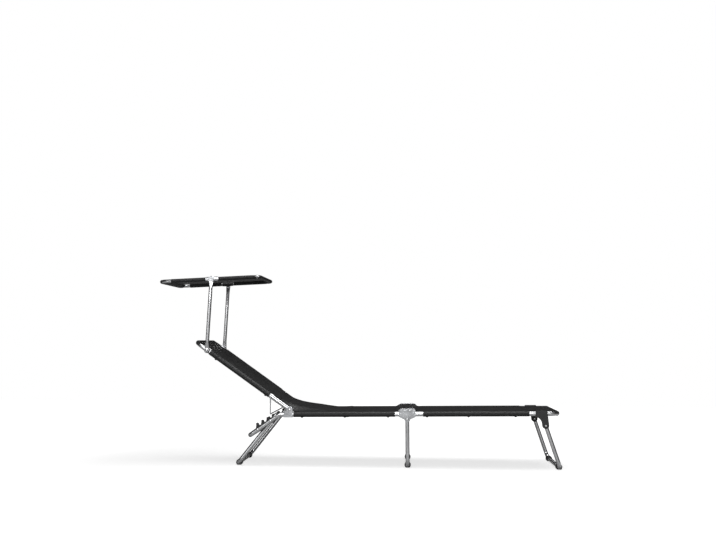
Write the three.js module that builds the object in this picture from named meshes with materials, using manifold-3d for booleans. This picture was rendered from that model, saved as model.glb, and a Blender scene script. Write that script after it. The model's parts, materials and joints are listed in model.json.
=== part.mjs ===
// Folding three-leg sun lounger with a tilting canopy, modelled in millimetres, +Z up.
// The bed lies along X, with the head at -X and the foot end at +X. Its two sides are at -Y and +Y.
// Everything hangs in nested groups, one for each stretch of tube that folds, so a piece is drawn flat.
import * as THREE from "three";
import { mergeVertices } from "three/addons/utils/BufferGeometryUtils.js";
import Module from "manifold-3d";

const wasm = await Module();
wasm.setup();

// Driving dimensions of the bed
const railSpacing = 560; // between the centrelines of the two side rails
const railHeight = 266.5; // centreline of the rails above the ground at the middle hinge
const railRiseDegrees = 0.85; // the rails rise towards the foot end
const railRadius = 11;
const cornerRadius = 40; // bend of the bed tubes at the head and foot corners
const seatLength = 584; // middle hinge to back hinge
const footLength = 742; // middle hinge to the foot crossbar
const backLength = 572; // back hinge to the head crossbar
const backDegrees = 35.8; // recline of the back above the rails
const clearance = 0.3; // between pieces that touch
const runningGap = 0.3; // between a rivet and its hole

// Driving dimensions of the legs
const legRadius = 10;
const legBendRadius = 34;
const rearFootSetback = 262; // behind the back hinge
const frontFootReach = 8; // past the foot crossbar
const shoeWall = 3; // plastic sleeve round the crossbar that stands on the ground
const shoeLength = 42;
const shoeFlat = 0.5; // depth of the flat under each shoe
const rivetRadius = 4;
const rivetHeadRadius = 7;
const rivetHeadHeight = 2.4;
const rivetCrownShare = 0.6;
const legTopReach = 9; // tube above a leg's rivet

// Driving dimensions of the canopy
const postRadius = 9;
const postLength = 357;
const postLeanDegrees = 3.6; // towards the foot end, from square to the rails
const postFootInset = 64; // from the head crossbar, along the back
const postFlatLength = 44;
const postFlatShare = 0.44;
const postWidenShare = 1.25;
const postTaperShares = { start: 0.5, end: 1.3 }; // of the flat's length
const canopyRadius = 8;
const canopyRear = 260; // pivot to the rear crossbar
const canopyFront = 238; // pivot to the front crossbar
const canopyPitchDegrees = 2.4; // the front edge is the higher one
const canopyCornerRadius = 42;

// Driving dimensions of the sling
const clothThickness = 2;
const endPanelInset = 62; // cloth at a crossbar stops this far inside the rail centreline
const seatClothRear = 19; // bare rail between the back hinge and the seat sleeve
const seatClothFront = 61; // bare rail between the seat sleeve and the middle hinge
const footClothStart = 79; // from the middle hinge
const footClothInset = 140; // from the foot crossbar
const backClothStart = 124; // from the back hinge
const backClothInset = 94; // from the head crossbar
const tongueInset = 20; // the cloth between the sleeves is this much narrower than the rails at a hinge
const tongueReach = 14; // gap left between a tongue and its hinge
const canopyClothRearInset = 54; // from the rear crossbar to the side sleeves
const canopyClothFrontInset = 48;
const canopySleeveGap = 33; // bare tube on each side of the canopy pivot

const tubeSides = 12;
const wireSides = 8;
const rivetSides = 10;
const bendSteps = 5;
const discSides = 24;
const overrun = 3; // how far a cutter runs past what it cuts

const radians = THREE.MathUtils.degToRad;
const halfSpacing = railSpacing / 2;
const sides = { near: -1, far: 1 };

// Materials
const aluminium = new THREE.MeshStandardMaterial({ color: 0xb9babd, roughness: 0.32, metalness: 1 });
const chromed = new THREE.MeshStandardMaterial({ color: 0xd3d6d9, roughness: 0.16, metalness: 1 });
const steel = new THREE.MeshStandardMaterial({ color: 0xc4c6c8, roughness: 0.3, metalness: 1 });
const plastic = new THREE.MeshStandardMaterial({ color: 0x141416, roughness: 0.5, metalness: 0 });
const cloth = new THREE.MeshStandardMaterial({ color: 0x1c1c1e, roughness: 0.85, metalness: 0 });

// Booleans on closed geometries
function solidFrom(geometry) {
  const bare = geometry.clone();
  bare.deleteAttribute("normal");
  bare.deleteAttribute("uv");
  const merged = mergeVertices(bare, 1e-4);
  return new wasm.Manifold(
    new wasm.Mesh({
      numProp: 3,
      vertProperties: merged.attributes.position.array,
      triVerts: new Uint32Array(merged.index.array),
    }),
  );
}

function geometryFrom(solid) {
  const made = solid.getMesh();
  const geometry = new THREE.BufferGeometry();
  geometry.setAttribute("position", new THREE.BufferAttribute(made.vertProperties, made.numProp));
  geometry.setIndex(new THREE.BufferAttribute(made.triVerts, 1));
  return geometry;
}

function joined(geometries) {
  return geometryFrom(geometries.map(solidFrom).reduce((all, next) => all.add(next)));
}

function cut(geometry, cutters) {
  const whole = solidFrom(geometry);
  return geometryFrom(cutters.map(solidFrom).reduce((rest, next) => rest.subtract(next), whole));
}

// A tube's centreline: straight runs between corners, each corner rounded by an arc
class BentPath extends THREE.Curve {
  constructor(corners, bendRadius) {
    super();
    this.points = [corners[0]];
    this.tangents = [];
    corners.slice(1, -1).forEach((corner, i) => {
      const before = corner.clone().sub(corners[i]).normalize();
      const after = corners[i + 2].clone().sub(corner).normalize();
      const turn = before.angleTo(after);
      const trim = bendRadius * Math.tan(turn / 2);
      const inward = after.clone().sub(before).normalize();
      const centre = corner.clone().addScaledVector(inward, bendRadius / Math.cos(turn / 2));
      const start = corner.clone().addScaledVector(before, -trim).sub(centre);
      const axis = before.clone().cross(after).normalize();
      if (i === 0) this.tangents.push(before);
      for (let step = 0; step <= bendSteps; step += 1) {
        const angle = (turn * step) / bendSteps;
        this.points.push(start.clone().applyAxisAngle(axis, angle).add(centre));
        this.tangents.push(before.clone().applyAxisAngle(axis, angle));
      }
    });
    const last = corners[corners.length - 1];
    const run = last.clone().sub(corners[corners.length - 2]).normalize();
    if (!this.tangents.length) this.tangents.push(run);
    this.points.push(last);
    this.tangents.push(run);
  }

  get steps() {
    return this.points.length - 1;
  }

  getSpacedPoints() {
    return this.points;
  }

  getTangentAt(share) {
    return this.tangents[Math.round(share * this.steps)].clone();
  }
}

function disc(radius) {
  return new THREE.Shape().absarc(0, 0, radius, 0, Math.PI * 2);
}

function tubeAlong(corners, bendRadius, radius, count = tubeSides) {
  const extrudePath = new BentPath(corners, bendRadius);
  const outline = new THREE.Shape(disc(radius).getSpacedPoints(count).slice(0, -1));
  return new THREE.ExtrudeGeometry(outline, { steps: extrudePath.steps, extrudePath, bevelEnabled: false });
}

// A flat plate whose outline is drawn in X and Z, centred on a plane of constant Y
function plateAcross(outline, thickness, y, curveSegments = 8) {
  const settings = { depth: thickness, curveSegments, bevelEnabled: false };
  const geometry = new THREE.ExtrudeGeometry(outline, settings);
  return geometry.translate(0, 0, -thickness / 2).rotateX(Math.PI / 2).translate(0, y, 0);
}

function blockBetween(x0, x1, y0, y1, z0, z1) {
  const geometry = new THREE.BoxGeometry(x1 - x0, y1 - y0, z1 - z0);
  return geometry.translate((x0 + x1) / 2, (y0 + y1) / 2, (z0 + z1) / 2);
}

// A round bar along Y between two places
function barAcross(radius, x, z, y0, y1, segments = discSides) {
  const geometry = new THREE.CylinderGeometry(radius, radius, Math.abs(y1 - y0), segments);
  return geometry.translate(x, (y0 + y1) / 2, z);
}

// A round bar along X between two places
function barAlong(radius, x0, x1, y, z, segments = discSides) {
  const geometry = new THREE.CylinderGeometry(radius, radius, Math.abs(x1 - x0), segments);
  return geometry.rotateZ(Math.PI / 2).translate((x0 + x1) / 2, y, z);
}

function piece(parent, name, geometry, material) {
  const mesh = new THREE.Mesh(geometry, material);
  mesh.name = name;
  parent.add(mesh);
  return mesh;
}

// A rivet along Y: a turned profile with a domed head at each end
function rivetAcross(x, z, yStart, yEnd, radius = rivetRadius) {
  const head = rivetHeadRadius;
  const length = Math.abs(yEnd - yStart);
  const profile = [
    new THREE.Vector2(0, -rivetHeadHeight),
    new THREE.Vector2(head * rivetCrownShare, -rivetHeadHeight),
    new THREE.Vector2(head, -rivetHeadHeight * (1 - rivetCrownShare)),
    new THREE.Vector2(head, 0),
    new THREE.Vector2(radius, 0),
    new THREE.Vector2(radius, length),
    new THREE.Vector2(head, length),
    new THREE.Vector2(head, length + rivetHeadHeight * (1 - rivetCrownShare)),
    new THREE.Vector2(head * rivetCrownShare, length + rivetHeadHeight),
    new THREE.Vector2(0, length + rivetHeadHeight),
  ];
  return new THREE.LatheGeometry(profile, rivetSides).translate(x, Math.min(yStart, yEnd), z);
}

function holeAcross(x, z, y, reach) {
  return barAcross(rivetRadius + runningGap, x, z, y - reach, y + reach, tubeSides);
}

// The whole lounger, and the bed, which leans with its rails
const lounger = new THREE.Group();
const bed = new THREE.Group();
bed.position.z = railHeight;
bed.rotation.y = -radians(railRiseDegrees);
lounger.add(bed);

// The ground below a place on the bed, in the bed's own leaning frame
function groundUnder(x, height) {
  const rise = radians(railRiseDegrees);
  return (height - railHeight - x * Math.sin(rise)) / Math.cos(rise);
}

// Where the bed turns
const backPivot = { x: -seatLength, z: 24 };
const foldPivot = { x: 14, z: 16 };
const middleLegPivot = { x: 0, z: -26 };
const rearLegSetback = 71; // behind the back hinge
const rearLegPivot = { x: -seatLength - rearLegSetback, z: -4 };
const frontLegInset = 60; // from the foot crossbar
const frontLegPivot = { x: footLength - frontLegInset, z: -58 };

// The rear ends of the seat rails bend down into a bow that carries the recline combs
const bowSetback = 53; // from the back hinge to the rail's downward bend
const bowRun = 146.5;
const bowFall = 101.5;
const bowStartX = -seatLength - bowSetback;
const bowDrop = { x: bowStartX - bowRun, z: -bowFall };
const bowBendRadius = 24;
const seatTubeEnd = 3.5; // gap between the rail's end and the middle hinge
const bracketWall = 2.5;
const slotHalf = railRadius + clearance;
const bracketHalf = slotHalf + bracketWall;

function bowPointAt(side) {
  return new THREE.Vector3(bowDrop.x, side * halfSpacing, bowDrop.z);
}

function buildSeatTube() {
  const corners = [
    new THREE.Vector3(-seatTubeEnd, -halfSpacing, 0),
    new THREE.Vector3(bowStartX, -halfSpacing, 0),
    bowPointAt(-1),
    bowPointAt(1),
    new THREE.Vector3(bowStartX, halfSpacing, 0),
    new THREE.Vector3(-seatTubeEnd, halfSpacing, 0),
  ];
  const places = [rearLegPivot, ...Object.values(combRivetShares).map(bowAt)];
  const holes = Object.values(sides).flatMap((side) =>
    places.map((at) => holeAcross(at.x, at.z, side * halfSpacing, railRadius + overrun)),
  );
  piece(bed, "seat_frame_tube", cut(tubeAlong(corners, bowBendRadius, railRadius), holes), aluminium);
}

// A sling panel: two sleeves round the rails, the cloth between them, narrow tongues and an end panel
function slingGeometry({ start, end, radius, half, tongues, endBar }) {
  const inner = radius + clearance;
  const outer = inner + clothThickness;
  const wallSteps = 10;
  const bite = Math.asin(inner / outer);
  const outline = new THREE.Shape();
  outline.moveTo(-half, outer);
  outline.absarc(-half, 0, outer, Math.PI / 2, Math.PI * 2 + bite, false);
  outline.lineTo(half + outer * Math.cos(Math.PI - bite), outer * Math.sin(bite));
  outline.absarc(half, 0, outer, Math.PI - bite, Math.PI * 2 + Math.PI / 2, false);
  outline.lineTo(-half, outer);
  [-half, half].forEach((y) => {
    outline.holes.push(new THREE.Path().absarc(y, 0, inner, 0, Math.PI * 2, true));
  });
  const panel = new THREE.ExtrudeGeometry(outline, {
    depth: end - start,
    curveSegments: wallSteps,
    bevelEnabled: false,
  });
  panel.rotateX(Math.PI / 2).rotateZ(Math.PI / 2).translate(start, 0, 0);
  const parts = [panel];
  tongues.forEach(([from, to]) => {
    parts.push(blockBetween(from, to, tongueInset - half, half - tongueInset, inner, outer));
  });
  if (endBar === undefined) return joined(parts);
  const reach = half - endPanelInset;
  const overlapX = endBar > end ? end - overrun : start + overrun;
  parts.push(barAcross(outer, endBar, 0, -reach, reach));
  parts.push(
    blockBetween(Math.min(overlapX, endBar), Math.max(overlapX, endBar), -reach, reach, inner, outer),
  );
  return cut(joined(parts), [barAcross(inner, endBar, 0, -half, half, discSides)]);
}

function buildSeatSling() {
  const start = seatClothRear - seatLength;
  const end = -seatClothFront;
  const geometry = slingGeometry({
    start,
    end,
    radius: railRadius,
    half: halfSpacing,
    tongues: [
      [tongueReach - seatLength, start + overrun],
      [end - overrun, -tongueReach],
    ],
  });
  piece(bed, "seat_sling", geometry, cloth);
}

// Back hinge: a pressed channel under the rail whose two cheeks carry the back's rivet
const cheekLength = 30; // behind the hinge
const cheekRadius = 15;
const cheekShoulder = 5.5;

function buildBackHinge(name, side) {
  const y = side * halfSpacing;
  const low = -slotHalf - bracketWall;
  const outline = new THREE.Shape();
  outline.moveTo(backPivot.x - cheekLength, low);
  outline.lineTo(backPivot.x + cheekRadius, low);
  outline.lineTo(backPivot.x + cheekRadius, backPivot.z);
  outline.absarc(backPivot.x, backPivot.z, cheekRadius, 0, Math.PI, false);
  outline.lineTo(backPivot.x - cheekLength, cheekShoulder);
  outline.closePath();
  const channel = plateAcross(outline, bracketHalf * 2, y);
  const slot = blockBetween(
    backPivot.x - cheekLength - overrun,
    backPivot.x + cheekLength + overrun,
    y - slotHalf,
    y + slotHalf,
    -slotHalf,
    backPivot.z + cheekRadius + overrun,
  );
  const hole = holeAcross(backPivot.x, backPivot.z, y, bracketHalf + overrun);
  piece(bed, "back_hinge_bracket_" + name, cut(channel, [slot, hole]), chromed);
  const reach = bracketHalf + clearance;
  piece(bed, "back_hinge_rivet_" + name, rivetAcross(backPivot.x, backPivot.z, y - reach, y + reach), steel);
}

// Middle hinge: two cheeks that hold the seat rail, the folding foot rail and the middle leg
const foldCheekLength = 41;
const foldCheekTop = 27;
const foldCheekRadius = 14;
const foldWebLength = 21;
const foldChamfer = 7;

function buildFoldHinge(name, side) {
  const y = side * halfSpacing;
  const low = -slotHalf - bracketWall;
  const shoulder = -slotHalf;
  const outline = new THREE.Shape();
  outline.moveTo(-foldCheekLength, low);
  outline.lineTo(-foldCheekRadius, middleLegPivot.z);
  outline.absarc(middleLegPivot.x, middleLegPivot.z, foldCheekRadius, Math.PI, Math.PI * 2, false);
  outline.lineTo(foldCheekLength, low);
  outline.lineTo(foldCheekLength, foldCheekTop - foldChamfer);
  outline.lineTo(foldCheekLength - foldChamfer, foldCheekTop);
  outline.lineTo(foldChamfer - foldCheekLength, foldCheekTop);
  outline.lineTo(-foldCheekLength, foldCheekTop - foldChamfer);
  outline.closePath();
  const channel = plateAcross(outline, bracketHalf * 2, y);
  const past = foldCheekLength + overrun;
  const bottom = middleLegPivot.z - foldCheekRadius - overrun;
  const upper = blockBetween(-past, past, y - slotHalf, y + slotHalf, shoulder, foldCheekTop + overrun);
  const lower = blockBetween(-past, past, y - slotHalf, y + slotHalf, bottom, low);
  const open = blockBetween(
    foldWebLength - foldCheekLength,
    past,
    y - slotHalf,
    y + slotHalf,
    low - overrun,
    shoulder + overrun,
  );
  const holes = [foldPivot, middleLegPivot].map((at) => holeAcross(at.x, at.z, y, bracketHalf + overrun));
  piece(bed, "fold_hinge_bracket_" + name, cut(channel, [upper, lower, open, ...holes]), chromed);
  const reach = bracketHalf + clearance;
  piece(bed, "fold_rivet_" + name, rivetAcross(foldPivot.x, foldPivot.z, y - reach, y + reach), steel);
  const legRivet = rivetAcross(middleLegPivot.x, middleLegPivot.z, y - reach, y + reach);
  piece(bed, "middle_leg_rivet_" + name, legRivet, steel);
}

// Recline comb: a moulded rack riveted inside the bow, whose hooks catch the prop's crossbar
const propPivotReach = 116; // along the back, from its hinge
const propLength = 88;
const propRadius = 3;
const combLine = { lowX: -175, lowZ: -66, highX: -45, highZ: 6 }; // the prop bar's path, from the back pivot
const combWidth = 6;
const combTeeth = 5;
const combToothDepth = 9;
const combTipGap = 1;
const combFootDrop = 11; // below the tube's centreline
const combRivetShares = { upper: 0.3, lower: 0.72 }; // along the bow's straight run
const combHookShares = [0, 0.1, 0.42, 0.62]; // of a tooth's pitch
const combHookRiseShares = [0, 1, 1, 0];

function bowAt(share) {
  return {
    x: THREE.MathUtils.lerp(bowStartX, bowDrop.x, share),
    z: THREE.MathUtils.lerp(0, bowDrop.z, share),
  };
}

function combOutline() {
  const low = new THREE.Vector2(backPivot.x + combLine.lowX, backPivot.z + combLine.lowZ);
  const high = new THREE.Vector2(backPivot.x + combLine.highX, backPivot.z + combLine.highZ);
  const along = high.clone().sub(low).normalize();
  const out = new THREE.Vector2(-along.y, along.x);
  const tipDrop = propRadius + combTipGap;
  const pitch = low.distanceTo(high) / combTeeth;
  const at = (distance, height) => low.clone().addScaledVector(along, distance).addScaledVector(out, height);
  const points = [];
  for (let tooth = 0; tooth < combTeeth; tooth += 1) {
    combHookShares.forEach((share, i) => {
      points.push(at(pitch * (tooth + share), -tipDrop - combToothDepth * (1 - combHookRiseShares[i])));
    });
  }
  points.push(at(pitch * combTeeth, -tipDrop - combToothDepth));
  const slope = bowDrop.z / (bowDrop.x - bowStartX);
  points.push(new THREE.Vector2(high.x, -combFootDrop));
  points.push(new THREE.Vector2(bowStartX, -combFootDrop));
  points.push(new THREE.Vector2(low.x, (low.x - bowStartX) * slope - combFootDrop));
  return new THREE.Shape(points);
}

function buildComb(name, side) {
  const inner = halfSpacing - railRadius - clearance - combWidth;
  const y = side * (inner + combWidth / 2);
  const places = Object.fromEntries(
    Object.entries(combRivetShares).map(([label, share]) => [label, bowAt(share)]),
  );
  const holes = [...Object.values(places), rearLegPivot].map((at) => holeAcross(at.x, at.z, y, combWidth));
  piece(bed, "recline_comb_" + name, cut(plateAcross(combOutline(), combWidth, y), holes), plastic);
  Object.entries(places).forEach(([label, at]) => {
    const inside = side * (inner - clearance);
    const outside = side * (halfSpacing + railRadius + clearance);
    piece(bed, `comb_rivet_${label}_${name}`, rivetAcross(at.x, at.z, inside, outside), steel);
  });
}

// Legs: a bow of tube whose two tops turn on rivets, with a plastic shoe at each end of its crossbar
function legBow(pivot, footX, half) {
  const footZ = groundUnder(footX, legRadius + shoeWall - shoeFlat);
  const direction = new THREE.Vector3(footX - pivot.x, 0, footZ - pivot.z).normalize();
  const top = (side) =>
    new THREE.Vector3(pivot.x, side * half, pivot.z).addScaledVector(direction, -legTopReach);
  const bottom = (side) => new THREE.Vector3(footX, side * half, footZ);
  const holes = [-1, 1].map((side) => holeAcross(pivot.x, pivot.z, side * half, legRadius + overrun));
  const tube = tubeAlong([top(-1), bottom(-1), bottom(1), top(1)], legBendRadius, legRadius);
  return { geometry: cut(tube, holes), footZ };
}

function shoeGeometry() {
  const inner = legRadius + clearance;
  const outer = legRadius + shoeWall;
  const sleeve = barAcross(outer, 0, 0, -shoeLength / 2, shoeLength / 2);
  const bore = barAcross(inner, 0, 0, -shoeLength, shoeLength);
  const below = blockBetween(-outer, outer, -shoeLength, shoeLength, -outer - overrun, shoeFlat - outer);
  return cut(sleeve, [bore, below]);
}

function buildLeg(parent, name, pivot, footX, half) {
  const { geometry, footZ } = legBow(pivot, footX, half);
  piece(parent, name + "_leg_bow", geometry, aluminium);
  Object.entries(sides).forEach(([sideName, side]) => {
    const shoe = piece(parent, name + "_leg_shoe_" + sideName, shoeGeometry(), plastic);
    shoe.rotation.y = radians(railRiseDegrees);
    shoe.position.set(footX, side * (half - legBendRadius - shoeLength / 2 - overrun), footZ);
  });
}

const rearLegGap = 3; // clears the comb's rivet heads
const rearLegHalf = halfSpacing - railRadius - combWidth - rearLegGap - legRadius;

function buildRearLegRivet(name, side) {
  const inside = side * (rearLegHalf - legRadius - clearance);
  const outside = side * (halfSpacing + railRadius + clearance);
  piece(bed, "rear_leg_rivet_" + name, rivetAcross(rearLegPivot.x, rearLegPivot.z, inside, outside), steel);
}

// Foot section
const footStart = 3;
const earLength = 26;
const earTopRadius = 7;
const earBase = 5.5; // above the rail's centreline

function buildFootTube() {
  const corners = [
    new THREE.Vector3(footStart, -halfSpacing, 0),
    new THREE.Vector3(footLength, -halfSpacing, 0),
    new THREE.Vector3(footLength, halfSpacing, 0),
    new THREE.Vector3(footStart, halfSpacing, 0),
  ];
  piece(bed, "foot_frame_tube", tubeAlong(corners, cornerRadius, railRadius), aluminium);
}

function buildFoldEar(name, side) {
  const y = side * halfSpacing;
  const outline = new THREE.Shape();
  outline.moveTo(foldPivot.x - earTopRadius, earBase);
  outline.lineTo(foldPivot.x + earLength, earBase);
  outline.lineTo(foldPivot.x + earLength, railRadius + overrun);
  outline.lineTo(foldPivot.x + earTopRadius, foldPivot.z);
  outline.absarc(foldPivot.x, foldPivot.z, earTopRadius, 0, Math.PI, false);
  outline.closePath();
  const ear = plateAcross(outline, railRadius * 2 - overrun, y);
  const saddle = barAlong(railRadius + clearance, 0, footLength, y, 0);
  const hole = holeAcross(foldPivot.x, foldPivot.z, y, bracketHalf);
  piece(bed, "fold_ear_" + name, cut(ear, [saddle, hole]), steel);
}

function buildFootSling() {
  const geometry = slingGeometry({
    start: footClothStart,
    end: footLength - footClothInset,
    radius: railRadius,
    half: halfSpacing,
    tongues: [[tongueReach, footClothStart + overrun]],
    endBar: footLength,
  });
  piece(bed, "foot_sling", geometry, cloth);
}

// Front leg bracket: a moulded gusset clamped round the foot rail, with a slot for the leg
const gussetInset = { low: 110, high: 52 }; // its two ends, from the foot crossbar
const gussetTopLow = footLength - gussetInset.low;
const gussetTopHigh = footLength - gussetInset.high;
const gussetWall = 3.4;
const gussetEndRadius = 16;
const gussetBellyShare = 1.6;

function buildGusset(name, side) {
  const y = side * halfSpacing;
  const half = railRadius + clearance + gussetWall;
  const outline = new THREE.Shape();
  outline.moveTo(gussetTopLow, -half);
  outline.lineTo(gussetTopLow, half);
  outline.lineTo(gussetTopHigh, half);
  outline.lineTo(frontLegPivot.x + gussetEndRadius, frontLegPivot.z);
  outline.absarc(frontLegPivot.x, frontLegPivot.z, gussetEndRadius, 0, -Math.PI, true);
  outline.quadraticCurveTo(frontLegPivot.x - gussetEndRadius, -half * gussetBellyShare, gussetTopLow, -half);
  const solid = plateAcross(outline, half * 2, y);
  const slotTop = frontLegPivot.z + Math.hypot(legRadius, legTopReach) + clearance;
  const cutters = [
    barAlong(railRadius + clearance, gussetTopLow - overrun, gussetTopHigh + overrun, y, 0),
    blockBetween(
      gussetTopLow - overrun,
      gussetTopHigh + gussetEndRadius + overrun,
      y - legRadius - clearance,
      y + legRadius + clearance,
      frontLegPivot.z - gussetEndRadius - overrun,
      slotTop,
    ),
    holeAcross(frontLegPivot.x, frontLegPivot.z, y, half + overrun),
  ];
  piece(bed, "front_leg_bracket_" + name, cut(solid, cutters), plastic);
  const reach = half + clearance;
  const rivet = rivetAcross(frontLegPivot.x, frontLegPivot.z, y - reach, y + reach);
  piece(bed, "front_leg_rivet_" + name, rivet, steel);
}

// Back section, drawn flat with its rails along -X from the hinge, then reclined
const back = new THREE.Group();
back.position.set(backPivot.x, 0, backPivot.z);
back.rotation.y = radians(backDegrees);
bed.add(back);
const backTubeEnd = 6;
const postFootX = backLength - postFootInset;

function buildBackTube() {
  const corners = [
    new THREE.Vector3(backTubeEnd, -halfSpacing, 0),
    new THREE.Vector3(-backLength, -halfSpacing, 0),
    new THREE.Vector3(-backLength, halfSpacing, 0),
    new THREE.Vector3(backTubeEnd, halfSpacing, 0),
  ];
  const reach = railRadius + overrun;
  const holes = Object.values(sides).map((side) => holeAcross(0, 0, side * halfSpacing, reach));
  piece(back, "back_frame_tube", cut(tubeAlong(corners, cornerRadius, railRadius), holes), aluminium);
}

function buildBackSling() {
  const geometry = slingGeometry({
    start: backClothInset - backLength,
    end: -backClothStart,
    radius: railRadius,
    half: halfSpacing,
    tongues: [[-backClothStart - overrun, -tongueReach]],
    endBar: -backLength,
  });
  piece(back, "back_sling", geometry, cloth);
}

// Prop: a bow of wire hooked to the outside of the back rails, whose crossbar lies on the combs
const prop = new THREE.Group();
prop.position.set(-propPivotReach, 0, 0);
back.add(prop);
const propClear = 1.2;
const propY = halfSpacing + railRadius + clearance + clothThickness + propRadius + propClear;
const propHookReach = propY - halfSpacing - railRadius - clearance;
const propBendRadius = 8;
const propBendShare = 0.9; // of the hook's length, where that is the shorter

function propDirection() {
  // The crossbar rests on the comb's line, propLength from the prop's pivot on the reclined back.
  const recline = radians(backDegrees);
  const pivot = new THREE.Vector2(-Math.cos(recline), Math.sin(recline)).multiplyScalar(propPivotReach);
  const low = new THREE.Vector2(combLine.lowX, combLine.lowZ);
  const along = new THREE.Vector2(combLine.highX, combLine.highZ).sub(low).normalize();
  const offset = pivot.clone().sub(low);
  const middle = offset.dot(along);
  const height = Math.abs(offset.x * along.y - offset.y * along.x);
  const bar = low.clone().addScaledVector(along, middle - Math.sqrt(propLength ** 2 - height ** 2));
  const toBar = bar.sub(pivot).rotateAround(new THREE.Vector2(), recline);
  return new THREE.Vector3(toBar.x, 0, toBar.y);
}

function buildProp() {
  const bar = propDirection();
  const hook = (side) => new THREE.Vector3(0, side * (propY - propHookReach), 0);
  const shoulder = (side) => new THREE.Vector3(0, side * propY, 0);
  const bottom = (side) => bar.clone().setY(side * propY);
  const corners = [hook(-1), shoulder(-1), bottom(-1), bottom(1), shoulder(1), hook(1)];
  const bend = Math.min(propBendRadius, propHookReach * propBendShare);
  piece(prop, "prop_bail", tubeAlong(corners, bend, propRadius, wireSides), steel);
}

// Canopy posts, drawn upright from their pivots on the back rails
const arms = new THREE.Group();
arms.position.set(-postFootX, 0, 0);
arms.rotation.y = radians(postLeanDegrees - backDegrees);
back.add(arms);
const postClear = 0.7;
const postY = halfSpacing + railRadius + clearance + clothThickness + postRadius + postClear;
const postFlatHalf = postRadius * postFlatShare;
const boltRadius = 3;
const washerRadius = 14;
const washerBite = 5.5; // the washer's saddle reaches this close to the rail's centreline
const knobRadius = 13;
const knobHeight = 9;
const knobLobes = 5;
const knobLobeSteps = 8;
const knobLobeShare = 0.14;

// Squashes a tube along Z near each of its ends, as a press does before the holes are drilled
function flattened(geometry, length, y) {
  const { start, end } = postTaperShares;
  const position = geometry.attributes.position;
  for (let i = 0; i < position.count; i += 1) {
    const fromEnd = Math.min(position.getZ(i) + postRadius, length + postRadius - position.getZ(i));
    const full = THREE.MathUtils.smoothstep(fromEnd / postFlatLength, start, end);
    const thin = THREE.MathUtils.lerp(postFlatShare, 1, full);
    const wide = THREE.MathUtils.lerp(postWidenShare, 1, full);
    position.setY(i, y + (position.getY(i) - y) * thin);
    position.setX(i, position.getX(i) * wide);
  }
  return geometry;
}

function buildPost(name, side) {
  const y = side * postY;
  const endShares = [-1, -0.5, 0];
  const rings = endShares.map((share) => share * postRadius);
  const { start, end } = postTaperShares;
  const taperAt = (i) => THREE.MathUtils.lerp(start, end, i / (bendSteps - 1));
  const tapers = Array.from({ length: bendSteps }, (_, i) => postFlatLength * taperAt(i) - postRadius);
  const lower = rings.concat(tapers);
  const heights = lower.concat(lower.map((height) => postLength - height).reverse());
  const tube = new THREE.LatheGeometry(
    [
      new THREE.Vector2(0, heights[0]),
      ...heights.map((height) => new THREE.Vector2(postRadius, height)),
      new THREE.Vector2(0, heights[heights.length - 1]),
    ],
    tubeSides,
  );
  const post = flattened(tube.rotateX(Math.PI / 2).translate(0, y, 0), postLength, y);
  const holes = [0, postLength].map((z) =>
    barAcross(boltRadius + runningGap, 0, z, y - postRadius, y + postRadius, tubeSides),
  );
  piece(arms, "canopy_post_" + name, cut(post, holes), aluminium);
}

// A clamping bolt with a lobed knob outside the post and its shank through the post's hole
function knobBolt(side, seatY) {
  const outline = new THREE.Shape();
  const steps = knobLobes * knobLobeSteps;
  for (let i = 0; i < steps; i += 1) {
    const angle = (i / steps) * Math.PI * 2;
    const radius = knobRadius * (1 + knobLobeShare * Math.cos(angle * knobLobes));
    const point = [radius * Math.cos(angle), radius * Math.sin(angle)];
    if (i === 0) outline.moveTo(...point);
    else outline.lineTo(...point);
  }
  outline.closePath();
  const faceY = side * (postY + postFlatHalf + clearance);
  const head = plateAcross(outline, knobHeight, faceY + (side * knobHeight) / 2);
  const shank = barAcross(boltRadius, 0, 0, seatY, faceY + side * overrun, tubeSides);
  return joined([head, shank]);
}

// Saddle washer between the back rail and the post, and the bolt that clamps them
function buildPostFoot(name, side) {
  const inner = side * (halfSpacing + washerBite);
  const outer = side * (postY - postFlatHalf - clearance);
  const washer = barAcross(washerRadius, -postFootX, 0, inner, outer);
  const rail = barAlong(railRadius + clearance, -backLength, 0, side * halfSpacing, 0);
  piece(back, "post_washer_" + name, cut(washer, [rail]), plastic);
  const bolt = piece(back, "post_foot_knob_" + name, knobBolt(side, outer + side * clearance), plastic);
  bolt.position.x = -postFootX;
}

// Canopy, drawn level about its pivot
const canopy = new THREE.Group();
canopy.position.set(0, 0, postLength);
canopy.rotation.y = -radians(canopyPitchDegrees + postLeanDegrees);
arms.add(canopy);
const clampLength = 30;
const clampWall = 3;
const clampBossRadius = 15;
const canopyJoint = 0.5; // half the gap between the two bows, inside the clamp

function buildCanopyBow(name, reach) {
  const start = Math.sign(reach) * canopyJoint;
  const corners = [
    new THREE.Vector3(start, -halfSpacing, 0),
    new THREE.Vector3(reach, -halfSpacing, 0),
    new THREE.Vector3(reach, halfSpacing, 0),
    new THREE.Vector3(start, halfSpacing, 0),
  ];
  piece(canopy, "canopy_bow_" + name, tubeAlong(corners, canopyCornerRadius, canopyRadius), aluminium);
}

function buildCanopyClamp(name, side) {
  const y = side * halfSpacing;
  const sleeve = barAlong(canopyRadius + clearance + clampWall, -clampLength, clampLength, y, 0);
  const face = side * (postY - postFlatHalf - clearance);
  const boss = barAcross(clampBossRadius, 0, 0, y, face);
  const bore = barAlong(canopyRadius + clearance, -clampLength - overrun, clampLength + overrun, y, 0);
  piece(canopy, "canopy_clamp_" + name, cut(joined([sleeve, boss]), [bore]), chromed);
  piece(canopy, "canopy_knob_" + name, knobBolt(side, face + side * clearance), chromed);
}

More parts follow.
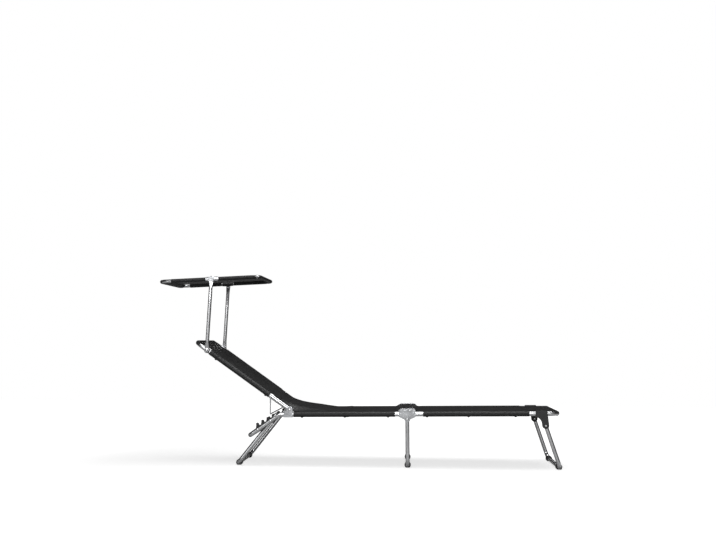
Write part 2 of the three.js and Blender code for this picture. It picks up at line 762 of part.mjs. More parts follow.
function buildCanopySling() {
  const half = halfSpacing;
  const common = { radius: canopyRadius, half };
  const rear = slingGeometry({
    ...common,
    start: canopyClothRearInset - canopyRear,
    end: -canopySleeveGap,
    tongues: [[-canopySleeveGap - overrun, canopySleeveGap + overrun]],
    endBar: -canopyRear,
  });
  const front = slingGeometry({
    ...common,
    start: canopySleeveGap,
    end: canopyFront - canopyClothFrontInset,
    tongues: [],
    endBar: canopyFront,
  });
  piece(canopy, "canopy_sling", joined([rear, front]), cloth);
}

// Assembly
buildSeatTube();
buildSeatSling();
buildFootTube();
buildFootSling();
buildBackTube();
buildBackSling();
buildProp();
buildLeg(bed, "rear", rearLegPivot, -seatLength - rearFootSetback, rearLegHalf);
buildLeg(bed, "middle", middleLegPivot, middleLegPivot.x, halfSpacing);
buildLeg(bed, "front", frontLegPivot, footLength + frontFootReach, halfSpacing);
buildCanopyBow("rear", -canopyRear);
buildCanopyBow("front", canopyFront);
buildCanopySling();
Object.entries(sides).forEach(([name, side]) => {
  buildBackHinge(name, side);
  buildFoldHinge(name, side);
  buildFoldEar(name, side);
  buildComb(name, side);
  buildRearLegRivet(name, side);
  buildGusset(name, side);
  buildPost(name, side);
  buildPostFoot(name, side);
  buildCanopyClamp(name, side);
});

// The origin is on the ground, under the middle of the lounger's length
lounger.updateMatrixWorld(true);
const extent = new THREE.Box3().setFromObject(lounger, true);
lounger.position.x = -(extent.min.x + extent.max.x) / 2;

export default lounger;
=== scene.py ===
# %% [markdown]
# # Dressing a folding sun lounger
# The frame that is loaded first holds every rigid piece at its real size, in metres, with +Z up.
# The head of the lounger is at -X and the foot end at +X, and its two sides are at -Y (near) and +Y (far).
# Nothing of that frame is moved here. Each cell below takes one real piece, such as a bent tube, a riveted
# bracket or the fabric sling, and gives it the surface, edges and stitching that a buyer would see.

# %% Load the fixed frame
import json
import math

import bmesh
import bpy
from mathutils import Matrix, Vector
from mathutils.kdtree import KDTree

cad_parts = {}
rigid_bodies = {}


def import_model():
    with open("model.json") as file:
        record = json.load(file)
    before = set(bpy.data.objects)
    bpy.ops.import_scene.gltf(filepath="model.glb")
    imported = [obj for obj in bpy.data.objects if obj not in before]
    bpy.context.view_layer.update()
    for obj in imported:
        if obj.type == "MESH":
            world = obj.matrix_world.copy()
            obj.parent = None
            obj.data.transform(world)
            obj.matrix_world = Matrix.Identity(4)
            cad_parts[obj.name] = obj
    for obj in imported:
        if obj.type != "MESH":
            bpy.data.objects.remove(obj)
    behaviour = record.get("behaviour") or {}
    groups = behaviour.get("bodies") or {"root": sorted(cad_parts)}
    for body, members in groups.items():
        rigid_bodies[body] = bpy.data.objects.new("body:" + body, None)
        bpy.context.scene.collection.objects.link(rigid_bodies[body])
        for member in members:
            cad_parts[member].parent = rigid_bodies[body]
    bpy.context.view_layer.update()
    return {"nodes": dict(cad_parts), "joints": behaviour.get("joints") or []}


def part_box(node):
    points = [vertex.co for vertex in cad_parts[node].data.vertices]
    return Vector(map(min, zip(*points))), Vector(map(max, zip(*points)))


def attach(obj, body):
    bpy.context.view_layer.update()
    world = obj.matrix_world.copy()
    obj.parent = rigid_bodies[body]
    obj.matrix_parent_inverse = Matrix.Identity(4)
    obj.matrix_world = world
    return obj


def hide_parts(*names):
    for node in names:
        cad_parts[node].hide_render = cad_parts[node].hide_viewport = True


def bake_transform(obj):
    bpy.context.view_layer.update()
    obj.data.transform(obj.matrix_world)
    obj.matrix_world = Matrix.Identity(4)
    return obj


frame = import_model()

# %% [markdown]
# ## The camera comes first
# A catalogue photographer stands some six and a half metres away with a long lens, at knee height,
# so the lounger is almost flat in the picture and the canopy is seen a little from below.
# The lens is worked out from the focal length in pixels that fits the picture's vanishing lines.

# %% Camera at the photograph's place
PICTURE_WIDTH = 716
FOCAL_PIXELS = 1262
SENSOR_MM = 36
CAMERA_PLACE = Vector((0.242, -6.569, 0.626))
CAMERA_YAW = math.radians(2.275)
CAMERA_PITCH = math.radians(3.223)
CAMERA_ROLL = math.radians(-0.551)



def in_scene(name, data):
    """A new object that shows this data."""
    made = bpy.data.objects.new(name, data)
    bpy.context.scene.collection.objects.link(made)
    return made


camera_data = bpy.data.cameras.new("photo_camera")
camera_data.sensor_width = SENSOR_MM
camera_data.lens = SENSOR_MM * FOCAL_PIXELS / PICTURE_WIDTH
camera = in_scene("photo_camera", camera_data)
camera.matrix_world = (
    Matrix.Translation(CAMERA_PLACE)
    @ Matrix.Rotation(CAMERA_YAW, 4, "Z")
    @ Matrix.Rotation(CAMERA_PITCH, 4, "X")
    @ Matrix.Rotation(CAMERA_ROLL, 4, "Y")
    @ Matrix.Rotation(math.radians(90), 4, "X")
)
bpy.context.scene.camera = camera
print("lens", round(camera_data.lens, 1), "mm")

# %% [markdown]
# ## Two helpers for shader nodes
# A finish is a small net of nodes. The first helper adds a node and sets or wires its inputs. The second maps
# one range of values to another, which nearly every finish needs. With them a finish reads like a recipe.

# %% Node makers
def fill_socket(tree, socket, value):
    """Wires an input to another socket, or sets it to a plain value."""
    if isinstance(value, bpy.types.NodeSocket):
        tree.links.new(value, socket)
    else:
        socket.default_value = value


def add_node(tree, kind, inputs=None, **settings):
    node = tree.nodes.new(kind)
    for label, value in settings.items():
        setattr(node, label, value)
    for label, value in (inputs or {}).items():
        fill_socket(tree, node.inputs[label], value)
    return node


def ranged(tree, value, low, high, to_low, to_high):
    limits = {"From Min": low, "From Max": high, "To Min": to_low, "To Max": to_high}
    return add_node(tree, "ShaderNodeMapRange", {"Value": value, **limits}).outputs["Result"]


print("node makers", add_node.__name__, "and", ranged.__name__)

# %% [markdown]
# ## A pale floor
# The lounger stands on white paper that runs out of the picture. A real sweep of paper curves up behind, but
# a flat sheet that glows a little more towards its edge looks the same and is simpler. The glow is only for
# the camera, so it doesn't light the tube, and from below the sheet is clear.

# %% Floor
WHITE = (1, 1, 1, 1)
FLOOR_SIZE = 12
FLOOR_DROP = 0.0005
PAPER_TONE = (0.5, 0.5, 0.5, 1)
PAPER_ROUGHNESS = 0.8
GLOW_RUN = (1.3, 3.4)
GLOW = (0.72, 1.1)


def for_the_camera(tree, value, operation):
    """Joins a strength with the mask of the rays that the camera itself sends out."""
    seen = add_node(tree, "ShaderNodeLightPath").outputs["Is Camera Ray"]
    return add_node(tree, "ShaderNodeMath", {0: value, 1: seen}, operation=operation).outputs[0]


def floor_finish():
    material = bpy.data.materials.new("studio_paper")
    material.use_nodes = True
    tree = material.node_tree
    shader = tree.nodes["Principled BSDF"]
    shader.inputs["Base Color"].default_value = PAPER_TONE
    shader.inputs["Roughness"].default_value = PAPER_ROUGHNESS
    shader.inputs["Specular IOR Level"].default_value = 0.0
    shader.inputs["Emission Color"].default_value = WHITE
    place = tree.nodes.new("ShaderNodeTexCoord").outputs["Object"]
    away = add_node(tree, "ShaderNodeVectorMath", {0: place}, operation="LENGTH").outputs["Value"]
    glow = for_the_camera(tree, ranged(tree, away, *GLOW_RUN, *GLOW), "MULTIPLY")
    tree.links.new(glow, shader.inputs["Emission Strength"])
    clear = add_node(tree, "ShaderNodeBsdfTransparent").outputs[0]
    under = add_node(tree, "ShaderNodeNewGeometry").outputs["Backfacing"]
    both = add_node(tree, "ShaderNodeMixShader", {0: under, 1: shader.outputs[0], 2: clear})
    tree.links.new(both.outputs[0], tree.nodes["Material Output"].inputs["Surface"])
    return material


bpy.ops.object.select_all(action="DESELECT")
bpy.ops.mesh.primitive_plane_add(size=FLOOR_SIZE, location=(0, 0, -FLOOR_DROP))
floor = bpy.context.object
floor.name = "studio_floor"
floor.data.materials.append(floor_finish())
print("floor", FLOOR_SIZE, "m wide")

# %% [markdown]
# ## A soft studio
# Bright tube is a mirror, so it looks the way its surroundings look. In a plain white room it would vanish.
# So only the camera sees white all round. The metal itself sees soft panels above and in front, and a dim
# room to the sides and behind, which draws the darker lines along its edges. A long strip lamp behind the
# camera draws the thin pale line along the sleeves, and a tall panel at the left draws the one on the posts.

# %% Room and lights
ROOM_GLOW = (0.03, 0.5)
FRONT_HEADINGS = (-0.35, -0.9)
PANELS = [
    # name, place, aim, width and height, watts
    ("overhead_panel", (0.3, -0.2, 3.2), (0, 0, 0.3), (4.4, 1.6), 100),
    ("front_panel", (0.2, -5.2, 2.0), (0, 0, 0.5), (3.4, 0.7), 42),
    ("strip_panel", (-0.2, -8.0, 2.35), (0, 0, 0.4), (5.0, 0.5), 75),
    ("side_panel", (-4.2, -6.5, 0.9), (0, 0, 0.4), (2.0, 1.8), 20),
    ("back_panel", (-0.4, 4.6, 2.4), (0, 0, 0.4), (3.0, 0.7), 1),
]


def soft_panel(name, place, aim, size, power):
    data = bpy.data.lights.new(name, "AREA")
    data.shape = "RECTANGLE"
    data.size, data.size_y = size
    data.energy = power
    panel = in_scene(name, data)
    panel.location = place
    panel.rotation_euler = (Vector(aim) - Vector(place)).to_track_quat("-Z", "Y").to_euler()


world = bpy.data.worlds.new("studio")
bpy.context.scene.world = world
world.use_nodes = True
room = world.node_tree
heading = add_node(room, "ShaderNodeTexCoord").outputs["Generated"]
parts = add_node(room, "ShaderNodeSeparateXYZ", {"Vector": heading})
front = ranged(room, parts.outputs["Y"], *FRONT_HEADINGS, *ROOM_GLOW)
room.links.new(for_the_camera(room, front, "MAXIMUM"), room.nodes["Background"].inputs["Strength"])
room.nodes["Background"].inputs["Color"].default_value = WHITE
for panel in PANELS:
    soft_panel(*panel)
bpy.context.scene.view_settings.view_transform = "Standard"
print("studio lights", len(PANELS), "with", sum(panel[-1] for panel in PANELS), "watts")

# %% [markdown]
# ## Where each section of the lounger lies
# The real lounger is made of flat sections joined at rivets, so every piece is easiest to draw flat, with its
# section's hinge at the origin, and then laid in place. The hinges come from the frame's joints, and the lean
# of the back and posts from the line between two of them. The canopy's tilt is a given angle.

# %% Section frames
MM = 0.001
RAIL_RISE = math.radians(0.85)
FOLD_PIVOT = Vector((14, 0, 16)) * MM
HALF_SPACING = 280 * MM
SIDES = {"near": -1, "far": 1}

hinge = {joint["name"]: Vector(joint["pos_m"]) for joint in frame["joints"]}


def lying(origin, lean):
    """A section's place: its hinge, and how far it is turned about the lounger's width."""
    return Matrix.Translation(origin) @ Matrix.Rotation(lean, 4, "Y")


bed_turn = Matrix.Rotation(-RAIL_RISE, 4, "Y")
bed_place = lying(hinge["foot_fold"] - bed_turn @ FOLD_PIVOT, -RAIL_RISE)
back_run = hinge["canopy_arm_swing"] - hinge["back_recline"]
back_lean = math.atan2(back_run.z, -back_run.x)
back_place = lying(hinge["back_recline"], back_lean)
post_run = hinge["canopy_tilt"] - hinge["canopy_arm_swing"]
post_place = lying(hinge["canopy_arm_swing"], math.atan2(post_run.x, post_run.z))
CANOPY_PITCH = math.radians(3.25)
canopy_place = lying(hinge["canopy_tilt"], -CANOPY_PITCH)
prop_place = lying(hinge["prop_swing"], back_lean)
on_bed = {name: bed_place.inverted() @ place for name, place in hinge.items()}
print("back leans", round(math.degrees(back_lean), 1), "degrees")

# %% [markdown]
# ## Node groups for the finishes
# Wear, drawn lines, moulded grain and the weave are each built once as a node group and placed in the
# materials with their own numbers. A group only gives out heights and other values. The shader itself
# stays in the material, where its constants can be read by anyone who opens it.

# %% Node group helpers
def group_of(name, inputs, outputs):
    """A new node group. An input that has no number yet is a vector, and everything else is a number."""
    tree = bpy.data.node_groups.new(name, "ShaderNodeTree")
    for label, value in inputs.items():
        kind = "NodeSocketVector" if value is None else "NodeSocketFloat"
        socket = tree.interface.new_socket(label, in_out="INPUT", socket_type=kind)
        if value is not None:
            socket.default_value = value
    for label in outputs:
        tree.interface.new_socket(label, in_out="OUTPUT", socket_type="NodeSocketFloat")
    return tree, tree.nodes.new("NodeGroupInput").outputs, tree.nodes.new("NodeGroupOutput").inputs


def hand_out(tree, out, **sockets):
    for label, socket in sockets.items():
        tree.links.new(socket, out[label])
    print("node group", tree.name, "gives", ", ".join(sockets))
    return tree


def maths(tree, operation, *values):
    return add_node(tree, "ShaderNodeMath", dict(enumerate(values)), operation=operation).outputs[0]


def noise(tree, vector, scale, detail):
    inputs = {"Vector": vector, "Scale": scale, "Detail": detail}
    return add_node(tree, "ShaderNodeTexNoise", inputs).outputs[0]


print("group helpers", group_of.__name__, "and", hand_out.__name__)

# %% [markdown]
# ## Wear from hands and weather
# Metal and plastic that is handled turns dull in soft patches, and each patch is full of fine scuffs. Two
# noises do this: a coarse one for the patches, and one many times finer that only shows inside them.

# %% Handling wear
SCUFFS_PER_PATCH = 38.0
SCUFF_FLOOR = 0.5
WEAR_RANGE = (0.3, 0.75)


def build_handling_wear():
    inputs = {"Vector": None, "Patch Scale": 9.0, "Low": 0.2, "High": 0.35}
    tree, given, out = group_of("handling_wear", inputs, ["Roughness", "Patches"])
    patches = noise(tree, given["Vector"], given["Patch Scale"], 3.0)
    scuff_scale = maths(tree, "MULTIPLY", given["Patch Scale"], SCUFFS_PER_PATCH)
    scuffs = noise(tree, given["Vector"], scuff_scale, 4.0)
    both = maths(tree, "MULTIPLY", patches, maths(tree, "ADD", scuffs, SCUFF_FLOOR))
    rough = ranged(tree, both, *WEAR_RANGE, given["Low"], given["High"])
    return hand_out(tree, out, Roughness=rough, Patches=patches)


handling_wear = build_handling_wear()
print(handling_wear.name, "has", len(handling_wear.nodes), "nodes")

# %% [markdown]
# ## Lines of drawing
# Tube is pulled through a die, which leaves fine lines all along it. A noise that is close packed round the
# tube and long drawn along it gives them. Its place comes from the tube's own attribute, so that the lines
# follow the bends, which lines by plain place wouldn't do.

# %% Drawn lines
LINE_CONTRAST = (0.3, 0.7)


def build_drawn_lines():
    inputs = {"Vector": None, "Across": 2600.0, "Along": 14.0}
    tree, given, out = group_of("drawn_lines", inputs, ["Height", "Tone"])
    sides = {"X": given["Across"], "Y": given["Across"], "Z": given["Along"]}
    stretch = add_node(tree, "ShaderNodeCombineXYZ", sides).outputs[0]
    drawn = add_node(tree, "ShaderNodeVectorMath", {0: given["Vector"], 1: stretch}, operation="MULTIPLY")
    lines = noise(tree, drawn.outputs[0], 1.0, 2.0)
    return hand_out(tree, out, Height=lines, Tone=ranged(tree, lines, *LINE_CONTRAST, 0.0, 1.0))


drawn_lines = build_drawn_lines()
print(drawn_lines.name, "has", len(drawn_lines.nodes), "nodes")

# %% [markdown]
# ## Grain of a mould
# A steel mould is roughened by sparks, and its small cells come out on the plastic as a leathery grain. Thick
# places sink a little as they cool, so slow waves lie under the grain. Cells and waves are added up.

# %% Moulded grain
CELL_HEIGHT = 0.5
SINK_SCALE = 60.0


def build_moulded_grain():
    tree, given, out = group_of("moulded_grain", {"Vector": None, "Grain Scale": 1700.0}, ["Height"])
    cells = {"Vector": given["Vector"], "Scale": given["Grain Scale"]}
    grain = add_node(tree, "ShaderNodeTexVoronoi", cells).outputs["Distance"]
    waves = noise(tree, given["Vector"], SINK_SCALE, 2.0)
    height = maths(tree, "ADD", maths(tree, "MULTIPLY", grain, CELL_HEIGHT), waves)
    return hand_out(tree, out, Height=height)


moulded_grain = build_moulded_grain()
print(moulded_grain.name, "has", len(moulded_grain.nodes), "nodes")

# %% [markdown]
# ## Plain weave
# The sling is woven of coated yarn, warp and weft passing over each other in turn. A picture of cloth would
# blur from close by, so the weave is worked out from two sine waves, read in metres of the flat cloth.

# %% Plain weave
YARN_SCALE = 90.0


def build_plain_weave():
    tree, given, out = group_of("plain_weave", {"Vector": None, "Pitch": 0.0011}, ["Height", "Yarn"])
    parted = add_node(tree, "ShaderNodeSeparateXYZ", {"Vector": given["Vector"]})
    ridges, steps = [], []
    for axis in ("X", "Y"):
        counted = maths(tree, "DIVIDE", parted.outputs[axis], given["Pitch"])
        wave = maths(tree, "SINE", maths(tree, "MULTIPLY", counted, math.pi))
        ridges.append(maths(tree, "ABSOLUTE", wave))
        steps.append(maths(tree, "FLOOR", counted))
    over = maths(tree, "PINGPONG", maths(tree, "ADD", *steps), 1.0)
    under = maths(tree, "SUBTRACT", 1.0, over)
    yarns = []
    for on_top, high, low in ((over, *ridges), (under, *reversed(ridges))):
        rounded = maths(tree, "MULTIPLY", high, maths(tree, "SQRT", low))
        yarns.append(maths(tree, "MULTIPLY", on_top, rounded))
    yarn = noise(tree, given["Vector"], YARN_SCALE, 5.0)
    return hand_out(tree, out, Height=maths(tree, "ADD", *yarns), Yarn=yarn)


plain_weave = build_plain_weave()
print(plain_weave.name, "has", len(plain_weave.nodes), "nodes")

# %% [markdown]
# ## From a group to a finish
# Each finish has a base colour that shifts a little over the surface, and its roughness and bump come from
# the groups above. What is the same all over, such as how metallic it is, is set on the shader itself.

# %% Finish helpers
def finish_of(name, metallic, specular=0.5):
    material = bpy.data.materials.new(name)
    material.use_nodes = True
    tree = material.node_tree
    shader = tree.nodes["Principled BSDF"]
    shader.inputs["Metallic"].default_value = metallic
    shader.inputs["Specular IOR Level"].default_value = specular
    return material, tree, shader


def placed_group(tree, group, vector, **values):
    node = tree.nodes.new("ShaderNodeGroup")
    node.node_tree = group
    tree.links.new(vector, node.inputs["Vector"])
    for label, value in values.items():
        node.inputs[label.replace("_", " ").title()].default_value = value
    return node.outputs


def tinted(tree, factor, first, second):
    node = add_node(tree, "ShaderNodeMix", data_type="RGBA")
    for label, value in (("Factor", factor), ("A", (*first, 1)), ("B", (*second, 1))):
        fill_socket(tree, node.inputs[label], value)
    return node.outputs["Result"]


def feed(tree, shader, color, roughness, height, depth, strength):
    """Wires a finish's colour, roughness and bump to its shader."""
    bump = add_node(tree, "ShaderNodeBump", {"Height": height, "Distance": depth, "Strength": strength})
    sockets = {"Base Color": color, "Roughness": roughness, "Normal": bump.outputs["Normal"]}
    for label, socket in sockets.items():
        tree.links.new(socket, shader.inputs[label])


def object_place(tree):
    return tree.nodes.new("ShaderNodeTexCoord").outputs["Object"]


print("finish helpers", finish_of.__name__, "and", feed.__name__)

# %% [markdown]
# ## The metal finishes
# The tube is bright drawn aluminium, the brackets are chromed pressings, and the rivets and wire are zinc
# plated and duller. All plated pieces share one recipe with their own tones. So does the sewing thread, which
# isn't metal at all, because its fine pits are right for twisted yarn too.

# %% Metal finishes
def tube_finish():
    material, tree, shader = finish_of("bright_drawn_tube", 1.0)
    drawn = add_node(tree, "ShaderNodeAttribute", attribute_name="drawn").outputs["Vector"]
    lines = placed_group(tree, drawn_lines, drawn)
    wear = placed_group(tree, handling_wear, object_place(tree), patch_scale=7.0, low=0.14, high=0.3)
    color = tinted(tree, lines["Tone"], (0.58, 0.585, 0.60), (0.80, 0.805, 0.815))
    feed(tree, shader, color, wear["Roughness"], lines["Height"], depth=0.00003, strength=0.25)
    return material


def plated_finish(name, dark, light, low, high, grain, metallic=1.0):
    material, tree, shader = finish_of(name, metallic)
    place = object_place(tree)
    wear = placed_group(tree, handling_wear, place, patch_scale=22.0, low=low, high=high)
    color = tinted(tree, wear["Patches"], dark, light)
    pits = noise(tree, place, grain, 3.0)
    feed(tree, shader, color, wear["Roughness"], pits, depth=0.00005, strength=0.35)
    return material


bright_tube = tube_finish()
chromed = plated_finish("chromed_pressing", (0.74, 0.76, 0.79), (0.90, 0.91, 0.93), 0.06, 0.24, 240.0)
zinc = plated_finish("zinc_rivet", (0.56, 0.57, 0.58), (0.76, 0.76, 0.77), 0.2, 0.42, 500.0)
wire_steel = plated_finish("plated_wire", (0.60, 0.61, 0.62), (0.80, 0.80, 0.81), 0.16, 0.34, 700.0)
thread = plated_finish(
    "sewing_thread", (0.018, 0.018, 0.019), (0.045, 0.045, 0.046), 0.5, 0.7, 900.0, metallic=0.0
)
print("finishes", ", ".join(finish.name for finish in (bright_tube, chromed, zinc, wire_steel, thread)))

# %% [markdown]
# ## The black finishes
# Combs, shoes, plugs and gussets are black nylon with the grain of their mould. The sling is a black coated
# mesh fabric. Neither is a plain black: both shift a little, from yarn to yarn or from patch to patch.

# %% Black finishes
FABRIC_PITCH = 0.0012
FABRIC_SHINE = 0.42


def moulding_finish():
    material, tree, shader = finish_of("black_moulding", 0.0)
    place = object_place(tree)
    grain = placed_group(tree, moulded_grain, place)
    wear = placed_group(tree, handling_wear, place, patch_scale=30.0, low=0.36, high=0.58)
    color = tinted(tree, wear["Patches"], (0.008, 0.008, 0.009), (0.024, 0.024, 0.026))
    feed(tree, shader, color, wear["Roughness"], grain["Height"], depth=0.0002, strength=0.4)
    return material


def fabric_finish():
    material, tree, shader = finish_of("sling_mesh", 0.0, FABRIC_SHINE)
    flat = add_node(tree, "ShaderNodeUVMap", uv_map="flat_cloth").outputs["UV"]
    weave = placed_group(tree, plain_weave, flat, pitch=FABRIC_PITCH)
    wear = placed_group(tree, handling_wear, object_place(tree), patch_scale=5.0, low=0.3, high=0.43)
    yarn = maths(tree, "MULTIPLY", weave["Height"], weave["Yarn"])
    color = tinted(tree, yarn, (0.004, 0.004, 0.0045), (0.024, 0.024, 0.025))
    feed(tree, shader, color, wear["Roughness"], weave["Height"], depth=0.0004, strength=0.6)
    return material


black_moulding = moulding_finish()
sling_fabric = fabric_finish()
print("finishes", black_moulding.name, "and", sling_fabric.name)

# %% [markdown]
# ## Helpers for modelling by hand
# Every operator acts on what is selected, so each piece starts with nothing selected. Faces are then selected
# in code, by their place or normal, as one would click on them in the window.

# %% Selecting and pulling
def deselect_all():
    if bpy.context.object and bpy.context.object.mode != "OBJECT":
        bpy.ops.object.mode_set(mode="OBJECT")
    bpy.ops.object.select_all(action="DESELECT")


def only(piece):
    deselect_all()
    piece.select_set(True)
    bpy.context.view_layer.objects.active = piece


def editing(piece, kind="FACE", everything=False):
    only(piece)
    bpy.ops.object.mode_set(mode="EDIT")
    bpy.ops.mesh.select_mode(type=kind)
    if everything:
        bpy.ops.mesh.select_all(action="SELECT")
    return bmesh.from_edit_mesh(piece.data)


def pick_faces(piece, test):
    """Selects, in edit mode, the faces whose middle and normal pass the test."""
    mesh = bmesh.from_edit_mesh(piece.data)
    for face in mesh.faces:
        face.select_set(bool(test(face.calc_center_median(), face.normal)))
    mesh.select_flush_mode()
    bmesh.update_edit_mesh(piece.data)


def pull(run):
    bpy.ops.mesh.extrude_region_move(TRANSFORM_OT_translate={"value": tuple(run)})


def widen(share, centre):
    bpy.ops.transform.resize(value=tuple(share), center_override=tuple(centre))


print("by hand:", ", ".join(step.__name__ for step in (editing, pick_faces, pull, widen)))

# %% [markdown]
# ## Laying a finished piece in its place
# When a piece is done it is laid in its section's place, and its turn and place go into its mesh, so that the
# object itself sits at the origin. Its normals point outwards, it gets its finish, and it rides on its body.
# It also takes the place of the plain solid of the same piece.

# %% Finishing a piece
def settle(piece):
    """Puts a piece's place, turn and size into its mesh."""
    only(piece)
    bpy.ops.object.transform_apply(location=True, rotation=True, scale=True)


def outward(piece):
    editing(piece, everything=True)
    bpy.ops.mesh.remove_doubles(threshold=0.001 * MM)
    bpy.ops.mesh.normals_make_consistent(inside=False)
    bpy.ops.object.mode_set(mode="OBJECT")


def modified(piece, kind, **settings):
    """Adds a modifier with these settings and applies it."""
    only(piece)
    modifier = piece.modifiers.new("step", kind)
    for label, value in settings.items():
        setattr(modifier, label, value)
    bpy.ops.object.modifier_apply(modifier=modifier.name)
    return piece


def lay(piece, name, place, material, body, nodes=(), slot=None, smooth=35, flats=False):
    """Lays a finished piece in its section's place and hands it to its body.

    With flats, the bevels take all the rounding of the shading and the flat faces stay flat.
    """
    outward(piece)
    piece.name = name
    piece.data.name = name
    piece.matrix_world = place @ piece.matrix_world
    settle(piece)
    bpy.ops.object.shade_smooth_by_angle(angle=math.radians(smooth))
    if flats:
        modified(piece, "WEIGHTED_NORMAL", keep_sharp=True)
    piece.data.materials.clear()
    piece.data.materials.append(material)
    if nodes:
        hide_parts(*nodes)
    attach(piece, body)
    return piece


print("finishing:", ", ".join(step.__name__ for step in (settle, outward, modified, lay)))

# %% [markdown]
# ## The path of a bent tube
# A tube bender holds the tube against a round former and draws it round, so a frame is only straight runs
# and arcs. Each corner of a plain zigzag is rounded by an arc that touches both of its runs.

# %% Bends
BEND_STEPS = 12
SAMPLE_STEP = 2 * MM


def bends_of(corners, bend):
    """For each inner corner: where its arc starts, its centre, axis, turn and where it ends."""
    found = []
    for before, corner, after in zip(corners, corners[1:], corners[2:]):
        run_in = (corner - before).normalized()
        run_out = (after - corner).normalized()
        turn = run_in.angle(run_out)
        trim = bend * math.tan(turn / 2)
        axis = run_in.cross(run_out).normalized()
        start = corner - run_in * trim
        found.append((start, start + axis.cross(run_in) * bend, axis, turn, corner + run_out * trim))
    return found


def centreline(corners, bend):
    """Points along the middle of the tube, close together."""
    points = [corners[0]]
    for start, centre, axis, turn, end in bends_of(corners, bend):
        points.append(start)
        for step in range(1, BEND_STEPS):
            turned_by = Matrix.Rotation(turn * step / BEND_STEPS, 3, axis)
            points.append(centre + turned_by @ (start - centre))
        points.append(end)
    points.append(corners[-1])
    fine = [points[0]]
    for first, last in zip(points, points[1:]):
        count = max(1, round((last - first).length / SAMPLE_STEP))
        fine.extend(first.lerp(last, (step + 1) / count) for step in range(count))
    return fine


print("a bend has", BEND_STEPS, "steps")

# %% [markdown]
# ## Bent tubes
# The tube is made as the bender makes it: a filled circle is extruded along each straight run and spun round
# each bend. The open ends are inset by the wall and pushed in, so one can look into the tube. A point's place
# along and round the tube is kept as an attribute, for the fine lines of drawing to follow the bends.

# %% Bent tube
TUBE_SIDES = 32
TUBE_WALL = 1.2 * MM
BORE_DEPTH = 14 * MM


def mark_drawn(piece, line):
    """Stores where each point lies round and along the tube, carried smoothly through the bends."""
    tree = KDTree(len(line))
    across, length, places = None, 0.0, []
    for i, point in enumerate(line):
        tree.insert(point, i)
        heading = (line[min(i + 1, len(line) - 1)] - line[max(i - 1, 0)]).normalized()
        if across is None:
            across = heading.orthogonal().normalized()
        across = (across - heading * across.dot(heading)).normalized()
        if i:
            length += (point - line[i - 1]).length
        places.append((point, across.copy(), heading.cross(across), length))
    tree.balance()
    drawn = piece.data.attributes.new("drawn", "FLOAT_VECTOR", "POINT")
    for i, vertex in enumerate(piece.data.vertices):
        point, first, second, along = places[tree.find(vertex.co)[1]]
        offset = vertex.co - point
        drawn.data[i].vector = (offset.dot(first), offset.dot(second), along)


def filled_circle(radius, place, heading=None, sides=TUBE_SIDES):
    """The first face of a round piece, with everything selected in edit mode."""
    deselect_all()
    rotation = heading.to_track_quat("Z", "Y").to_euler() if heading else (0, 0, 0)
    bpy.ops.mesh.primitive_circle_add(
        vertices=sides, radius=radius, fill_type="NGON", location=place, rotation=rotation
    )
    piece = bpy.context.object
    settle(piece)
    editing(piece, everything=True)
    return piece


def bent_tube(corners, bend, radius, bore=BORE_DEPTH):
    corners = [Vector(corner) for corner in corners]
    tube = filled_circle(radius, corners[0], (corners[1] - corners[0]).normalized())
    here = corners[0]
    for start, centre, axis, turn, end in bends_of(corners, bend):
        pull(start - here)
        bpy.ops.mesh.spin(steps=BEND_STEPS, angle=-turn, center=centre, axis=axis)
        here = end
    pull(corners[-1] - here)
    if bore:
        for tip, inner in ((corners[0], corners[1]), (corners[-1], corners[-2])):
            inward = (inner - tip).normalized()
            pick_faces(tube, lambda middle, normal, tip=tip: (middle - tip).length < radius / 2)
            bpy.ops.mesh.inset(thickness=TUBE_WALL)
            pull(inward * bore)
    outward(tube)
    mark_drawn(tube, centreline(corners, bend))
    return tube


print("a tube has", TUBE_SIDES, "sides and a wall of", TUBE_WALL / MM, "mm")

# %% [markdown]
# ## The three bed tubes
# The seat's tube is one length: its two rails dip at the head end into a bow that carries the combs.
# The back and the foot section are plain bows with two rounded corners each.

# %% Bed tubes
RAIL_RADIUS = 11 * MM
CORNER_RADIUS = 40 * MM
BOW_BEND = 24 * MM
FOOT_LENGTH = 742 * MM
BACK_LENGTH = 572 * MM
SEAT_END = 3.5 * MM
FOOT_START = 3 * MM
BACK_END = 6 * MM
BOW_START_X = -637 * MM
BOW_DROP = (-783.5 * MM, -101.5 * MM)


def looped(side_points):
    """A bow's corners: the near side's points, and the far side's in the other order."""
    near = [(x, -y, z) for x, y, z in side_points]
    return near + list(reversed(side_points))


seat_corners = looped([
    (-SEAT_END, HALF_SPACING, 0), (BOW_START_X, HALF_SPACING, 0), (BOW_DROP[0], HALF_SPACING, BOW_DROP[1]),
])
foot_corners = looped([(FOOT_START, HALF_SPACING, 0), (FOOT_LENGTH, HALF_SPACING, 0)])
back_corners = looped([(BACK_END, HALF_SPACING, 0), (-BACK_LENGTH, HALF_SPACING, 0)])
for name, corners, bend, place, body, node in (
    ("seat_rails_and_bow", seat_corners, BOW_BEND, bed_place, "seat_frame", "seat_frame_tube"),
    ("foot_rails", foot_corners, CORNER_RADIUS, bed_place, "foot_frame", "foot_frame_tube"),
    ("back_rails", back_corners, CORNER_RADIUS, back_place, "back_frame", "back_frame_tube"),
):
    tube = bent_tube(corners, bend, RAIL_RADIUS)
    lay(tube, name, place, bright_tube, body, [node], "bright_aluminium")
    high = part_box(node)[1]
    past = [max(v.co[k] for v in tube.data.vertices) - high[k] for k in range(3)]
    print(name, len(tube.data.polygons), "faces, past its solid by", [round(e / MM, 2) for e in past], "mm")

# %% [markdown]
# ## Legs and canopy bows
# Each leg is one length of tube bent into a bow, with both of its tops turned on rivets and its crossbar on
# the ground. The canopy has two such bows whose open ends meet inside the clamps.

